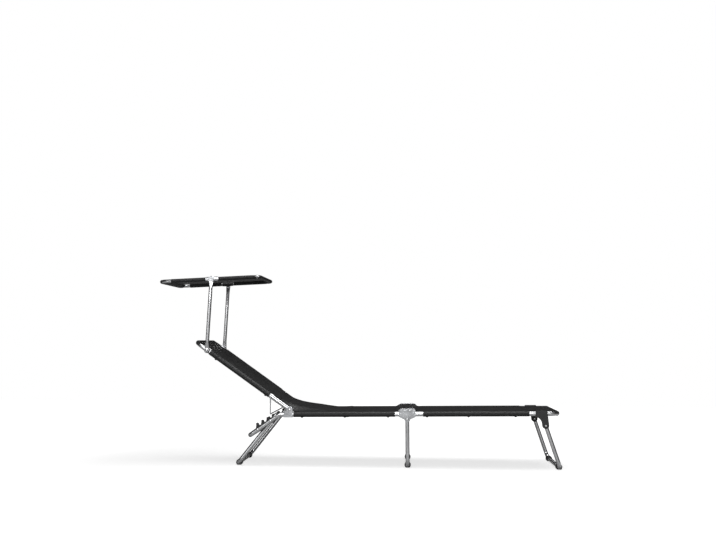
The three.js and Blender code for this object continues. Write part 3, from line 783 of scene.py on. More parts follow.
# %% Legs and canopy bows
LEG_RADIUS = 10 * MM
LEG_BEND = 34 * MM
LEG_TOP_REACH = 9 * MM
FOOT_CENTRE = 12.5 * MM
CANOPY_RADIUS = 8 * MM
CANOPY_BEND = 42 * MM
CANOPY_REAR = 260 * MM
CANOPY_FRONT = 238 * MM
CANOPY_JOINT = 0.5 * MM
LEG_HALVES = (("rear", 250 * MM), ("middle", HALF_SPACING), ("front", HALF_SPACING))


def node_middle(node):
    low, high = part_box(node)
    return (Vector(low) + Vector(high)) / 2


def leg_corners(joint, half, shoe):
    pivot = on_bed[joint]
    foot = node_middle(shoe)
    foot.z = FOOT_CENTRE
    foot = bed_place.inverted() @ foot
    run = Vector((foot.x - pivot.x, 0, foot.z - pivot.z)).normalized()
    top = Vector((pivot.x, 0, pivot.z)) - run * LEG_TOP_REACH
    return looped([(top.x, half, top.z), (foot.x, half, foot.z)])


for leg, half in LEG_HALVES:
    corners = leg_corners(leg + "_leg_fold", half, leg + "_leg_shoe_near")
    tube = bent_tube(corners, LEG_BEND, LEG_RADIUS)
    lay(tube, leg + "_leg_tube", bed_place, bright_tube, leg + "_leg", [leg + "_leg_bow"], "bright_aluminium")
for end, reach in (("rear", -CANOPY_REAR), ("front", CANOPY_FRONT)):
    corners = looped([(math.copysign(CANOPY_JOINT, reach), HALF_SPACING, 0), (reach, HALF_SPACING, 0)])
    tube = bent_tube(corners, CANOPY_BEND, CANOPY_RADIUS)
    nodes = ["canopy_bow_" + end]
    lay(tube, "canopy_tube_" + end, canopy_place, bright_tube, "canopy", nodes, "bright_aluminium")
print("bows done, front leg's foot at x", round(node_middle("front_leg_shoe_near").x, 3))

# %% [markdown]
# ## Prop wire
# A bail of plated wire hooks into the back rails. On the real lounger its crossbar drops into a notch of the
# combs. Here it is a thin bent tube that is closed at its ends, because a wire has no bore.

# %% Prop wire
WIRE_RADIUS = 3 * MM
WIRE_BEND = 4.05 * MM
PROP_Y = 297.5 * MM
PROP_HOOK_Y = 291.3 * MM

prop_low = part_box("prop_bail")[0]
prop_bar = Vector((prop_low[0] + WIRE_RADIUS, 0, prop_low[2] + WIRE_RADIUS))
prop_bar = prop_place.inverted() @ prop_bar
wire_corners = [(0, -PROP_HOOK_Y, 0), (0, -PROP_Y, 0), (prop_bar.x, -PROP_Y, prop_bar.z)]
wire_corners += [(x, -y, z) for x, y, z in reversed(wire_corners)]
wire = bent_tube(wire_corners, WIRE_BEND, WIRE_RADIUS, bore=0)
lay(wire, "prop_wire", prop_place, wire_steel, "prop", ["prop_bail"], "plated_steel")
print("prop crossbar at", [round(value, 4) for value in prop_bar])

# %% [markdown]
# ## Canopy posts
# A post is a straight tube whose ends are pressed flat so that a bolt can clamp them. The press closes the
# tube to a flat tongue that is wider than the tube, and leaves a flat facet that runs out in a V where the
# tube is round again. So the tube is drawn up ring by ring, each ring as wide as it has become there, and
# what stands out past the press is then pushed flat.

# %% Post widths
POST_RADIUS = 9 * MM
POST_LENGTH = 357 * MM
POST_Y = 303 * MM
POST_FLAT_HALF = 3.96 * MM
POST_WIDE = 1.25
POST_PRESSED = 23
POST_ROUND = 56
POST_RINGS = [0.4, 1.6, 3.6, 6.4, 9.5, 13, 18, 23, 27, 31, 35, 39, 43, 47, 51, 56]


def roundness(rise):
    """0 where the post is pressed flat and 1 where it is round, by the height above its tip in mm."""
    return min(1, max(0, (rise - POST_PRESSED) / (POST_ROUND - POST_PRESSED)))


def post_width(rise):
    """How much wider than the round tube the post is at this height, with its rounded tip."""
    tip = min(1, rise / (POST_RADIUS / MM))
    return (POST_WIDE + (1 - POST_WIDE) * roundness(rise)) * math.sqrt(1 - (1 - tip) ** 2)


def post_half(rise):
    return POST_FLAT_HALF + (POST_RADIUS - POST_FLAT_HALF) * roundness(rise)


halves = [round(post_half(rise) / MM, 1) for rise in (0, 40, POST_ROUND)]
print("from its middle to a face the post is", halves, "mm, at its tip, at 40 mm and where it is round")

# %% [markdown]
# ## Pressing the post
# The press is a flat tool on both faces of the tube. All the points of a ring that stand out past it are
# selected and scaled flat onto it, which is what the tool does to the metal.

# %% Canopy posts
SAME_HEIGHT = 0.05 * MM
POST_LINE = (-9, 100, 366)


def press_flat(post, height, y, half):
    """Pushes the points of one ring that stand out past the press back to it, on both faces."""
    for face in (-1, 1):
        mesh = bmesh.from_edit_mesh(post.data)
        bpy.ops.mesh.select_all(action="DESELECT")
        ring = [v for v in mesh.verts if abs(v.co.z - height) < SAME_HEIGHT]
        found = [v for v in ring if (v.co.y - y) * face > half + 0.001 * MM]
        for vertex in found:
            vertex.select_set(True)
        bmesh.update_edit_mesh(post.data)
        if found:
            widen((1, 0, 1), (0, y + face * half, height))


def canopy_post(side):
    tall = (POST_LENGTH + 2 * POST_RADIUS) / MM
    rises = POST_RINGS + [tall - rise for rise in reversed(POST_RINGS)]
    heights = [rise * MM - POST_RADIUS for rise in rises]
    y = side * POST_Y
    post = filled_circle(POST_RADIUS, (0, y, heights[0]))
    last = post_width(rises[0])
    widen((last, 1, 1), (0, y, heights[0]))
    for i, height in enumerate(heights[1:], 1):
        pull((0, 0, height - heights[i - 1]))
        share = post_width(min(rises[i], tall - rises[i]))
        widen((share / last, 1, 1), (0, y, height))
        last = share
    bpy.ops.mesh.select_mode(type="VERT")
    for rise, height in zip(rises, heights):
        press_flat(post, height, y, post_half(min(rise, tall - rise)))
    bpy.ops.object.mode_set(mode="OBJECT")
    mark_drawn(post, centreline([Vector((0, y, z * MM)) for z in POST_LINE], POST_RADIUS))
    return post


for side_name, side in SIDES.items():
    post, nodes = canopy_post(side), ["canopy_post_" + side_name]
    lay(post, "post_" + side_name, post_place, bright_tube, "canopy_arms", nodes, "bright_aluminium")
    print(post.name, len(post.data.polygons), "faces")

# %% [markdown]
# ## Rivets and other turned pieces
# A rivet's head is a shallow dome with a rounded rim. Rivets, bolt heads and plugs are all round, so one
# helper turns them: a ring is pulled along the axis and made wider or narrower at each step of the profile.

# %% Turned pieces and rivets
TURNED_SIDES = 28
RIVET_SHANK_SHARE = 4 / 7
HEAD_HEIGHT = 2.4 * MM
HEAD_RINGS = [(0, 0.22), (0.1, 0.46), (0.3, 0.72), (0.56, 0.91), (0.8, 0.99), (1, 1)]
HEAD_STEP = 0.01 * MM
SMALL_HEAD = 0.72


def turned(start, heading, rings, sides=TURNED_SIDES):
    """A round solid along a heading, from rings of (distance from the start, radius)."""
    start, heading = Vector(start), Vector(heading).normalized()
    piece = filled_circle(rings[0][1], start + heading * rings[0][0], heading, sides)
    for (d0, r0), (d1, r1) in zip(rings, rings[1:]):
        pull(heading * (d1 - d0))
        widen([r1 / r0] * 3, start + heading * d1)
    bpy.ops.object.mode_set(mode="OBJECT")
    return piece


def in_mm(pairs):
    return [(rise * MM, radius * MM) for rise, radius in pairs]


def rivet(node, head_share=1.0):
    low, high = (Vector(corner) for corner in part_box(node))
    radius = (high.x - low.x) / 2
    length = high.y - low.y
    near = [(rise * HEAD_HEIGHT, radius * share * head_share) for rise, share in HEAD_RINGS]
    shank = radius * RIVET_SHANK_SHARE
    far = [(length - distance, ring) for distance, ring in reversed(near)]
    rings = near + [(near[-1][0] + HEAD_STEP, shank), (far[0][0] - HEAD_STEP, shank)] + far
    middle = (low + high) / 2
    return turned((middle.x, low.y, middle.z), (0, 1, 0), rings)


def body_of(node):
    return frame["nodes"][node].parent.name.split(":")[1]


AS_IT_LIES = Matrix.Identity(4)
rivet_nodes = [node for node in frame["nodes"] if "rivet" in node]
for node in rivet_nodes:
    piece = rivet(node, SMALL_HEAD if "front_leg" in node else 1.0)
    lay(piece, node + "_domed", AS_IT_LIES, zinc, body_of(node), [node], "plated_steel", smooth=50)
print("rivets", len(rivet_nodes))

# %% [markdown]
# ## Pressed and moulded parts
# The brackets, combs, gussets, shoes, clamps, washers and knobs already have their true outlines. What they
# lack is the rounded edge that a press or a mould always leaves, which is what catches the light. A copy of
# each solid is merged into clean faces and its edges are bevelled.

# %% Bevelled copies
MERGE = 0.01 * MM
CLEAN_ANGLE = math.radians(1.5)
SHARP_ANGLE = math.radians(40)
PIECE_KINDS = {
    "back_hinge_bracket": (0.7, "chromed_steel"), "fold_hinge_bracket": (0.7, "chromed_steel"),
    "fold_ear": (0.6, "plated_steel"), "front_leg_bracket": (1.1, "black_plastic"),
    "post_washer": (0.8, "black_plastic"), "canopy_knob": (1.0, "chromed_steel"),
}
SLOT_FINISH = {"chromed_steel": chromed, "plated_steel": zinc, "black_plastic": black_moulding}


def clean_copy(node):
    source = frame["nodes"][node]
    mesh = source.data.copy()
    mesh.transform(source.matrix_world)
    piece = in_scene(node + "_shaped", mesh)
    piece.data.materials.clear()
    editing(piece, everything=True)
    bpy.ops.mesh.remove_doubles(threshold=MERGE)
    bpy.ops.mesh.dissolve_limited(angle_limit=CLEAN_ANGLE)
    bpy.ops.object.mode_set(mode="OBJECT")
    return piece


def bevelled(piece, width):
    return modified(
        piece, "BEVEL", width=width * MM, segments=2, limit_method="ANGLE", angle_limit=SHARP_ANGLE
    )


shaped = []
for node in frame["nodes"]:
    kinds = [kind for kind in PIECE_KINDS if kind in node]
    if kinds and "rivet" not in node:
        width, slot = PIECE_KINDS[kinds[0]]
        piece = bevelled(clean_copy(node), width)
        lay(piece, node + "_shaped", AS_IT_LIES, SLOT_FINISH[slot], body_of(node), [node], slot, flats=True)
        shaped.append(piece)
print("pressed and moulded parts", len(shaped))

# %% [markdown]
# ## Recline combs
# The rack on each side is a moulded plate with deep, slanting notches, so that its teeth stand as separate
# hooks above the bow. The notches are milled here as the mould does it: one rounded slot shape is moved along
# the prop bar's path from notch to notch, and taken away from the plate.

# %% Slots
NOTCH_SIDES = 24


def rounded_bar(foot, mouth, radius, y, reach):
    """A slot's shape: a disc whose one half is drawn out to the mouth, pulled across the lounger's width."""
    start = Vector((foot.x, y - reach, foot.z))
    bar = filled_circle(radius, start, Vector((0, -1, 0)), NOTCH_SIDES)
    run = Vector((mouth.x - foot.x, 0, mouth.z - foot.z))
    mesh = editing(bar, "VERT")
    bpy.ops.mesh.select_all(action="DESELECT")
    for vertex in mesh.verts:
        vertex.select_set((vertex.co - start).dot(run) > 0)
    bmesh.update_edit_mesh(bar.data)
    bpy.ops.transform.translate(value=run)
    bpy.ops.mesh.select_mode(type="FACE")
    bpy.ops.mesh.select_all(action="SELECT")
    pull((0, 2 * reach, 0))
    outward(bar)
    return bar


def cut_away(piece, cutter):
    modified(piece, "BOOLEAN", operation="DIFFERENCE", solver="EXACT", object=cutter)
    bpy.data.objects.remove(cutter)
    return piece


print("slot shapes have", NOTCH_SIDES, "sides")

# %% [markdown]
# ## Milling the combs
# The notches stand at even steps along the plate, from its low end to its high end, and each leans forward so
# that the prop's bar can't jump out under load.

# %% Combs
COMB_LOW = Vector((-175, 0, -66)) * MM
COMB_HIGH = Vector((-45, 0, 6)) * MM
COMB_Y = 265.7 * MM
COMB_EDGE = 0.7
COMB_NOTCHES = 5
NOTCH_RADIUS = 5.4 * MM
NOTCH_FOOT = (0.68, -15.5 * MM)
NOTCH_MOUTH = (0.88, 6 * MM)
NOTCH_REACH = 8 * MM

comb_run = COMB_HIGH - COMB_LOW
comb_out = Vector((-comb_run.z, 0, comb_run.x)).normalized()
back_hinge = on_bed["back_recline"]
for side_name, side in SIDES.items():
    node = "recline_comb_" + side_name
    comb = clean_copy(node)
    comb.data.transform(bed_place.inverted())
    for notch in range(COMB_NOTCHES):
        ends = [
            back_hinge + COMB_LOW + comb_run * ((notch + share) / COMB_NOTCHES) + comb_out * height
            for share, height in (NOTCH_FOOT, NOTCH_MOUTH)
        ]
        cut_away(comb, rounded_bar(*ends, NOTCH_RADIUS, side * COMB_Y, NOTCH_REACH))
    bevelled(comb, COMB_EDGE)
    lay(comb, node + "_hooked", bed_place, black_moulding, "seat_frame", [node], "black_plastic", flats=True)
    print(node, len(comb.data.polygons), "faces")

# %% [markdown]
# ## Shoes
# A moulded shoe sits round each end of a leg's crossbar. It is fatter than the tube, has rounded ends and a
# flat sole. The round is turned first, both ends are inset and bridged to make its bore, and the sole is cut.

# %% Shoes
SHOE_BORE = 10.25 * MM
SHOE_SOLE = 0.35 * MM
SHOE_ENDS = [(0, 13.4), (0.5, 14.6), (1.6, 15.3), (3.0, 15.5)]


def shoe(node):
    low, high = (Vector(corner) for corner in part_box(node))
    length = (high.y - low.y) / MM
    rings = SHOE_ENDS + [(length - rise, radius) for rise, radius in reversed(SHOE_ENDS)]
    middle = (low + high) / 2
    piece = turned((middle.x, low.y, FOOT_CENTRE), (0, 1, 0), in_mm(rings))
    editing(piece)
    pick_faces(piece, lambda middle, normal: abs(normal.y) > 0.99)
    bpy.ops.mesh.inset(thickness=SHOE_ENDS[0][1] * MM - SHOE_BORE)
    bpy.ops.mesh.bridge_edge_loops()
    bpy.ops.mesh.select_all(action="SELECT")
    bpy.ops.mesh.bisect(plane_co=(0, 0, SHOE_SOLE), plane_no=(0, 0, 1), use_fill=True, clear_inner=True)
    bpy.ops.object.mode_set(mode="OBJECT")
    return piece


for node in [name for name in frame["nodes"] if "leg_shoe" in name]:
    piece = shoe(node)
    lay(piece, node + "_moulded", AS_IT_LIES, black_moulding, body_of(node), [node], "black_plastic")
print("shoes stand at", round(min(v.co.z for v in piece.data.vertices), 5))

# %% [markdown]
# ## Pressed ribs of the middle bracket
# The fold bracket takes the most load, so its cheeks have pressed ribs: one up each side of the leg's rivet
# and a long one along the top. They are what sparkles in the photo. A rib is a low rounded bar on the cheek.

# %% Ribs
RIB_HEIGHT = 1.0 * MM
CHEEK_FACE = 293.8 * MM
RIB_RADIUS = 2.3 * MM
RIB_EDGE = 0.8
RIBS = [
    ((-32, 4), (-13, -19)), ((32, 4), (13, -19)), ((-29, 18), (-4, 18)),
    ((-6, -6), (-20, 9)), ((31, 9), (33, 18)),
]
for side_name, side in SIDES.items():
    for i, (foot, top) in enumerate(RIBS):
        ends = [Vector((x, 0, z)) * MM for x, z in (foot, top)]
        rib = rounded_bar(*ends, RIB_RADIUS, side * CHEEK_FACE, RIB_HEIGHT)
        name = "fold_bracket_rib_" + side_name + "_" + str(i)
        lay(bevelled(rib, RIB_EDGE), name, bed_place, chromed, "seat_frame", slot="chromed_steel", flats=True)
print("ribs", 2 * len(RIBS))

# %% [markdown]
# ## Sleeve buttons and tube plugs
# Small black buttons hold the sleeves on the rails from below, and every open tube end is closed with a
# moulded plug whose rim is as wide as the tube.

# %% Buttons and plugs
BUTTON = [(0, 3.2), (0.2, 5.6), (1.4, 5.8), (2.8, 5.0), (3.8, 3.2), (4.2, 1.2)]
SLEEVE_UNDER = 12.4 * MM
PLUG_RIM = 1.4
PLUG_PLAY = 0.15
PLUG_DEPTH = 11
BUTTON_ROWS = (
    (bed_place, "seat_frame", (-523, -310, -95)),
    (bed_place, "foot_frame", (98, 303, 535)),
    (back_place, "back_frame", (-448, -142)),
)
for place, body, spots in BUTTON_ROWS:
    for side_name, side in SIDES.items():
        for i, x in enumerate(spots):
            start = Vector((x * MM, side * HALF_SPACING, -SLEEVE_UNDER))
            button = turned(start, (0, 0, -1), in_mm(BUTTON))
            name = "_".join(["sleeve_button", body, side_name, str(i)])
            lay(button, name, place, black_moulding, body, slot="black_plastic", smooth=60)


def plug(name, tip, inward, radius, place, body):
    """A plug in an open tube end: a rim over the tube's edge and a stem inside its wall."""
    rim = radius / MM
    stem = rim - TUBE_WALL / MM - PLUG_PLAY
    rings = [(-PLUG_RIM, rim - 1.6), (-PLUG_RIM + 0.3, rim - 0.5), (-0.5, rim), (-0.05, rim)]
    rings += [(0, stem), (PLUG_DEPTH, stem)]
    lay(turned(tip, inward, in_mm(rings)), name, place, black_moulding, body, slot="black_plastic")


for side_name, side in SIDES.items():
    y = side * HALF_SPACING
    plug("seat_plug_" + side_name, (-SEAT_END, y, 0), (-1, 0, 0), RAIL_RADIUS, bed_place, "seat_frame")
    plug("foot_plug_" + side_name, (FOOT_START, y, 0), (1, 0, 0), RAIL_RADIUS, bed_place, "foot_frame")
    plug("back_plug_" + side_name, (BACK_END, y, 0), (-1, 0, 0), RAIL_RADIUS, back_place, "back_frame")
    for leg, half in LEG_HALVES:
        ends = leg_corners(leg + "_leg_fold", side * half, leg + "_leg_shoe_near")
        top, foot = Vector(ends[-1]), Vector(ends[-2])
        plug(leg + "_leg_plug_" + side_name, top, foot - top, LEG_RADIUS, bed_place, leg + "_leg")

# %% [markdown]
# ## Canopy clamps and post bolts
# Each clamp is one piece, parted along the tube's middle into a bright pressed cover outside and a black
# moulded half towards the cloth. The black half is painted shade: seen from inside, the far clamp lies in
# shade and looks black. A post's foot is held by a domed nut on a plain washer.

# %% Clamps and bolts
NUT_PROFILE = [(0, 10.5), (1.3, 10.5), (1.5, 8.2), (5.6, 8.2), (6.4, 7.4), (8.6, 6.4), (10, 4.6), (10.8, 2.2)]
NUT_PLAY = 0.1 * MM
CLAMP_EDGE = 0.6


def half_of(node, keep_outside):
    piece = clean_copy(node)
    side = math.copysign(1, piece.data.vertices[0].co.y)
    editing(piece, everything=True)
    bpy.ops.mesh.bisect(
        plane_co=(0, side * HALF_SPACING, 0), plane_no=(0, side, 0), use_fill=True,
        clear_inner=keep_outside, clear_outer=not keep_outside,
    )
    bpy.ops.object.mode_set(mode="OBJECT")
    return bevelled(piece, CLAMP_EDGE)


# The inner half's black moulding is painted shade; the cover outside is the clamp's bright metal.
CLAMP_COVER_AND_SHADE_HALVES = (
    ("_cover", True, chromed, "chromed_steel"),
    ("_inner", False, black_moulding, "black_plastic"),
)
for side_name, side in SIDES.items():
    node = "canopy_clamp_" + side_name
    for half_name, outside, finish, slot in CLAMP_COVER_AND_SHADE_HALVES:
        piece = half_of(node, outside)
        lay(piece, node + half_name, AS_IT_LIES, finish, "canopy", [node], slot, flats=True)
    node = "post_foot_knob_" + side_name
    seat = hinge["canopy_arm_swing"] + Vector((0, side * (POST_Y + POST_FLAT_HALF + NUT_PLAY), 0))
    nut = turned(seat, (0, side, 0), in_mm(NUT_PROFILE))
    lay(nut, "post_foot_nut_" + side_name, AS_IT_LIES, zinc, "back_frame", [node], "plated_steel")
print("clamps and nuts done")

# %% [markdown]
# ## The slings
# The fabric is cut flat, hemmed, and sewn into sleeves that slide on the rails before the rivets go in. So
# the cloth is cut here from its own flat pattern: straight sides where it has sleeves, narrower tongues at
# the hinges and a narrow panel at the ends that is wrapped round the crossbar. Every point of the pattern
# then knows where it lies on the frame. The cloth keeps its true length round the tubes, so it isn't
# stretched.

# %% Wraps
CLOTH = 1.2 * MM
SLEEVE_GAP = 1.3 * MM
WRAP_TURN = math.radians(235)
TAIL_GAP = 1.5 * MM


def wrap_tail(radius):
    """The straight rest of the wrap, long enough to reach the underside of the panel and not pass it."""
    last = math.pi / 2 - WRAP_TURN
    return (radius * (math.sin(last) - 1) + TAIL_GAP) / math.cos(last)


def wrap_length(radius):
    return radius * WRAP_TURN + wrap_tail(radius)


def wrapped(past, radius):
    """Where cloth lies that runs on past a bar's top: round it, then straight back under the panel."""
    turned_by = min(past / radius, WRAP_TURN)
    angle = math.pi / 2 - turned_by
    tail = max(0, past - radius * WRAP_TURN)
    run = radius * math.cos(angle) + tail * math.sin(angle)
    rise = radius * math.sin(angle) - tail * math.cos(angle)
    return run, rise


SLEEVE_RADIUS = RAIL_RADIUS + SLEEVE_GAP
print("a rail's sleeve takes", round(wrap_length(SLEEVE_RADIUS) / MM, 1), "mm of cloth")

# %% [markdown]
# ## Lines on the pattern
# Cloth bends along the lines where its faces meet. So the lines lie far apart in the flat panel and close
# together where the cloth goes round a tube. The pattern is the same on both sides of its middle.

# %% Pattern lines
PANEL_STEP = 13 * MM
WRAP_STEP = 3 * MM
TAIL_STEP = 5.5 * MM


def arc_between(centre, radius, first, last, steps=8):
    """Points of an arc in the pattern, by its two angles in degrees."""
    points = []
    for step in range(steps + 1):
        angle = math.radians(first + (last - first) * step / steps)
        points.append((centre[0] + radius * math.cos(angle), centre[1] + radius * math.sin(angle)))
    return points


def mirrored(half_outline):
    """The whole outline from the half with positive widths, given from the low end to the high end."""
    return half_outline + [(along, -across) for along, across in reversed(half_outline)]


def steps_between(low, high, step):
    count = max(1, round((high - low) / step))
    return [low + (high - low) * i / count for i in range(1, count)]


def side_cuts(radius, outer):
    """The lines along the cloth: wide in the panel and close over the sleeves."""
    half = steps_between(0, HALF_SPACING, PANEL_STEP) + [HALF_SPACING]
    tail = outer - wrap_tail(radius)
    half += steps_between(HALF_SPACING, tail, WRAP_STEP) + [tail] + steps_between(tail, outer, TAIL_STEP)
    return [0.0] + half + [-place for place in half]


def end_cuts(bar, direction, radius):
    """The close lines round an end bar."""
    turn, end = radius * WRAP_TURN, wrap_length(radius)
    spots = [0.0] + steps_between(0, turn, WRAP_STEP) + [turn] + steps_between(turn, end, TAIL_STEP)
    return [bar + direction * spot for spot in spots]


print("round an end bar the cloth has", len(end_cuts(0, 1, SLEEVE_RADIUS)), "lines")

# %% [markdown]
# ## Cutting and sewing
# One face with the pattern's outline is parted along the lines and laid on the frame, point by point. The
# flat pattern stays as a map of its own, which the weave is read from. Last, the cloth gets its thickness.

# %% Cutting and sewing
CLOTH_SMOOTH = math.radians(50)
ON_LINE = 1e-7
SAME_POINT = 1e-6


def cut_cloth(outline, cuts_along, cuts_across):
    """One flat face with the pattern's outline, parted along every line where the cloth may bend."""
    mesh = bmesh.new()
    mesh.faces.new([mesh.verts.new((*point, 0)) for point in outline])
    for places, normal in ((cuts_along, Vector((1, 0, 0))), (cuts_across, Vector((0, 1, 0)))):
        for place in places:
            whole = mesh.verts[:] + mesh.edges[:] + mesh.faces[:]
            bmesh.ops.bisect_plane(mesh, geom=whole, dist=ON_LINE, plane_co=normal * place, plane_no=normal)
    bmesh.ops.remove_doubles(mesh, verts=mesh.verts, dist=SAME_POINT)
    return mesh


def from_built(name, built, place):
    """Makes an object of what was built in a section's frame, and settles it in that section's place."""
    mesh = bpy.data.meshes.new(name)
    built.to_mesh(mesh)
    built.free()
    piece = in_scene(name, mesh)
    piece.matrix_world = place
    settle(piece)
    return piece


def sewn_cloth(name, outline, cuts_along, cuts_across, placed, place):
    """Cuts the pattern, stores it as the flat map, and lays every point on the frame."""
    cut = cut_cloth(outline, cuts_along, cuts_across)
    area = sum(face.calc_area() for face in cut.faces)
    flat_map = cut.loops.layers.uv.new("flat_cloth")
    for face in cut.faces:
        for corner in face.loops:
            corner[flat_map].uv = corner.vert.co.xy
    for vertex in cut.verts:
        vertex.co = placed(vertex.co.x, vertex.co.y)
    cloth = from_built(name, cut, place)
    editing(cloth, everything=True)
    bpy.ops.mesh.normals_make_consistent(inside=False)
    bpy.ops.object.mode_set(mode="OBJECT")
    modified(cloth, "SOLIDIFY", thickness=CLOTH, offset=0)
    bpy.ops.object.shade_smooth_by_angle(angle=CLOTH_SMOOTH)
    cloth.data.materials.append(sling_fabric)
    lengths = [point[0] for point in outline]
    widths = [point[1] for point in outline]
    flat = (max(widths) - min(widths), max(lengths) - min(lengths))
    return cloth, flat, area


print("cloth", CLOTH / MM, "mm thick, in", sling_fabric.name)

# %% [markdown]
# ## The way the cloth takes
# Seen from the side, a sling is a line that runs straight along the rails and is rounded where it bends. A
# place on the pattern is then a length along this line, and the line tells where it is and which way is up.

# %% Route
ROUND_STEPS = 24
SEARCH_STEPS = 4000


class Route:
    """The path of the cloth's middle in a section's X and Z: straight runs whose corners are rounded."""

    def __init__(self, corners, trims):
        points = [Vector(corners[0])]
        for before, corner, after, (trim_in, trim_out) in zip(corners, corners[1:], corners[2:], trims):
            before, corner, after = Vector(before), Vector(corner), Vector(after)
            run_in, run_out = (corner - before).normalized(), (after - corner).normalized()
            for step in range(ROUND_STEPS + 1):
                share = step / ROUND_STEPS
                first = corner - run_in * trim_in * (1 - share)
                last = corner + run_out * trim_out * share
                points.append(first.lerp(last, share))
        points.append(Vector(corners[-1]))
        self.points = points
        self.lengths = [0.0]
        for first, last in zip(points, points[1:]):
            self.lengths.append(self.lengths[-1] + (last - first).length)

    def at(self, length):
        """The place, the upward normal and the heading at a length along the route."""
        i = 1
        while i < len(self.points) - 1 and self.lengths[i] < length:
            i += 1
        first, last = self.points[i - 1], self.points[i]
        run = (last - first).normalized()
        return first + run * (length - self.lengths[i - 1]), Vector((-run.y, run.x)), run

    def length_to(self, place):
        """How far along the route the point nearest to a place lies."""
        total = self.lengths[-1]
        spots = [total * i / SEARCH_STEPS for i in range(SEARCH_STEPS + 1)]
        return min(spots, key=lambda spot: (self.at(spot)[0] - Vector(place)).length)


straight = Route([(0, 0), (FOOT_LENGTH, 0)], [])
print("along the foot frame a route is", round(straight.lengths[-1], 3), "m long")

# %% [markdown]
# ## From the pattern to the frame
# A point inside the panel lies on the route and sags a little between the rails. A point past a rail's top
# goes round that rail, and one past an end bar goes round the bar. Where a tube bends, the sleeve goes a
# little way along with it.

# %% From pattern to frame
SAG = 5.5 * MM
SAG_RUN = 130 * MM
BEND_REACH = 0.8
LAP_RISE = 1.3 * MM
MIDDLE_HALF = 200 * MM
FADE_EDGE = 6 * MM
TURN_UP_AT = 261 * MM


def smooth_step(start, end, value):
    share = min(1, max(0, (value - start) / (end - start)))
    return share * share * (3 - 2 * share)


def bend_in(beyond, bend):
    """How far a rounded corner's tube has come inwards, past the end of its straight run."""
    beyond = min(max(beyond, 0), BEND_REACH * bend)
    return bend - math.sqrt(bend * bend - beyond * beyond)


def slant(beyond, bend):
    """How much wider than its radius a sleeve lies, where its tube has begun to turn."""
    return bend / (bend - bend_in(beyond, bend)) if bend else 1


def on_route(route, radius, bars, sags, lap=None, middle_route=None, turn_up=None, bend=0):
    """A map from the flat pattern to the frame: along the route, round its end bars and round the rails.

    A second route is the one that the middle of the cloth takes, where it spans the hollow of a bent hinge.
    With a bend, the sleeves follow the tube a little way into its rounded corners.
    """

    def placed(along, across):
        beside = abs(across) - HALF_SPACING + bend
        beyond = max(bars[0] + bend - along, along + bend - bars[1])
        inset = bend_in(beside, bend)
        low, high = bars[0] + inset, bars[1] - inset
        inside = min(max(along, low), high)
        middle, up, run = route.at(inside)
        side = math.copysign(1, across)
        rail = HALF_SPACING - bend_in(beyond, bend)
        past = abs(across) - rail
        level = radius
        if lap:
            level += LAP_RISE * smooth_step(lap[0], lap[1], along)
        outside = abs(along - inside)
        if outside > max(past, 0):
            end = along > high
            reach, rise = wrapped(outside, radius)
            place = middle + run * reach * slant(beside, bend) * (1 if end else -1) + up * rise
            return Vector((place.x, across, place.y))
        if past > 0:
            middle, up, run = route.at(min(max(along, bars[0]), bars[1]))
            reach, rise = wrapped(past, level)
            place = middle + up * rise
            return Vector((place.x, side * (rail + reach * slant(beyond, bend)), place.y))
        hollow = 1 - (across / HALF_SPACING) ** 2
        place = middle + up * (level - sags(along) * hollow)
        if middle_route:
            share = 1 - smooth_step(MIDDLE_HALF, HALF_SPACING - FADE_EDGE, abs(across))
            place = place.lerp(middle_route(inside, level - sags(along) * hollow), share)
        # A turned-up hem is painted shade on the bracket cheek beside it.
        folded = turn_up(along, abs(across)) if turn_up else 0
        if folded:
            hem = abs(across) - TURN_UP_AT
            place = place + up * hem * math.sin(folded)
            return Vector((place.x, side * (TURN_UP_AT + hem * math.cos(folded)), place.y))
        return Vector((place.x, across, place.y))

    return placed


print("the cloth sags", SAG / MM, "mm, from", SAG_RUN / MM, "mm off an end bar")

# %% [markdown]
# ## Ways of the bed slings
# Two lengths of cloth meet in a lapped seam in the middle of the seat. The first one runs from the head bar
# down the back, across the hinge as a tongue, and along the seat. The second one runs on over the middle
# hinge to the foot bar.

# %% Routes of the bed slings
CREST_X = -116 * MM
VALLEY_X = -588 * MM
MEETING_X = -550.7 * MM
SPAN_END_X = -310 * MM
CREST_TRIMS = (13 * MM, 13 * MM)
VALLEY_TRIMS = (22 * MM, 22 * MM)
MEETING_TRIMS = (112 * MM, 232 * MM)
SEAM_X = -300 * MM
SEAM_LAP = 9 * MM
BACK_SLEEVE = (-491 * MM, -124 * MM)

back_on_bed = bed_place.inverted() @ back_place


def back_point(x, z):
    place = back_on_bed @ Vector((x, 0, z))
    return place.x, place.z


# The route runs along the middles of the rails. The cloth lies one sleeve radius above it.
crest = back_point(CREST_X, 0)
head_bar = back_point(-BACK_LENGTH, 0)
seam_end = (SEAM_X + SEAM_LAP, 0)
head_route = Route([head_bar, crest, (VALLEY_X, 0), seam_end], [CREST_TRIMS, VALLEY_TRIMS])
foot_route = Route([(SEAM_X - SEAM_LAP, 0), (FOOT_LENGTH, 0)], [])
head_end = head_route.lengths[-1]
back_sleeve = [head_route.length_to(back_point(x, 0)) for x in BACK_SLEEVE]
print("routes", round(head_end, 3), "and", round(foot_route.lengths[-1], 3), "m long")

# %% [markdown]
# ## The cloth over the back hinge
# The middle of the cloth runs straight on down the back and rounds off long into the seat. Pulled tight
# between the two frames, it stands a little proud of the rails there. So it takes a way of its own, and the
# cloth between the middle and a rail goes over from the one to the other.

# %% Span over the back hinge
HINGE_LIFT = 3 * MM
LIFT_RISE = (0, 0.1)
LIFT_FALL = (0.5, 1)
SEAT_SWELL = 7 * MM
SWELL_LEAN = 1.4

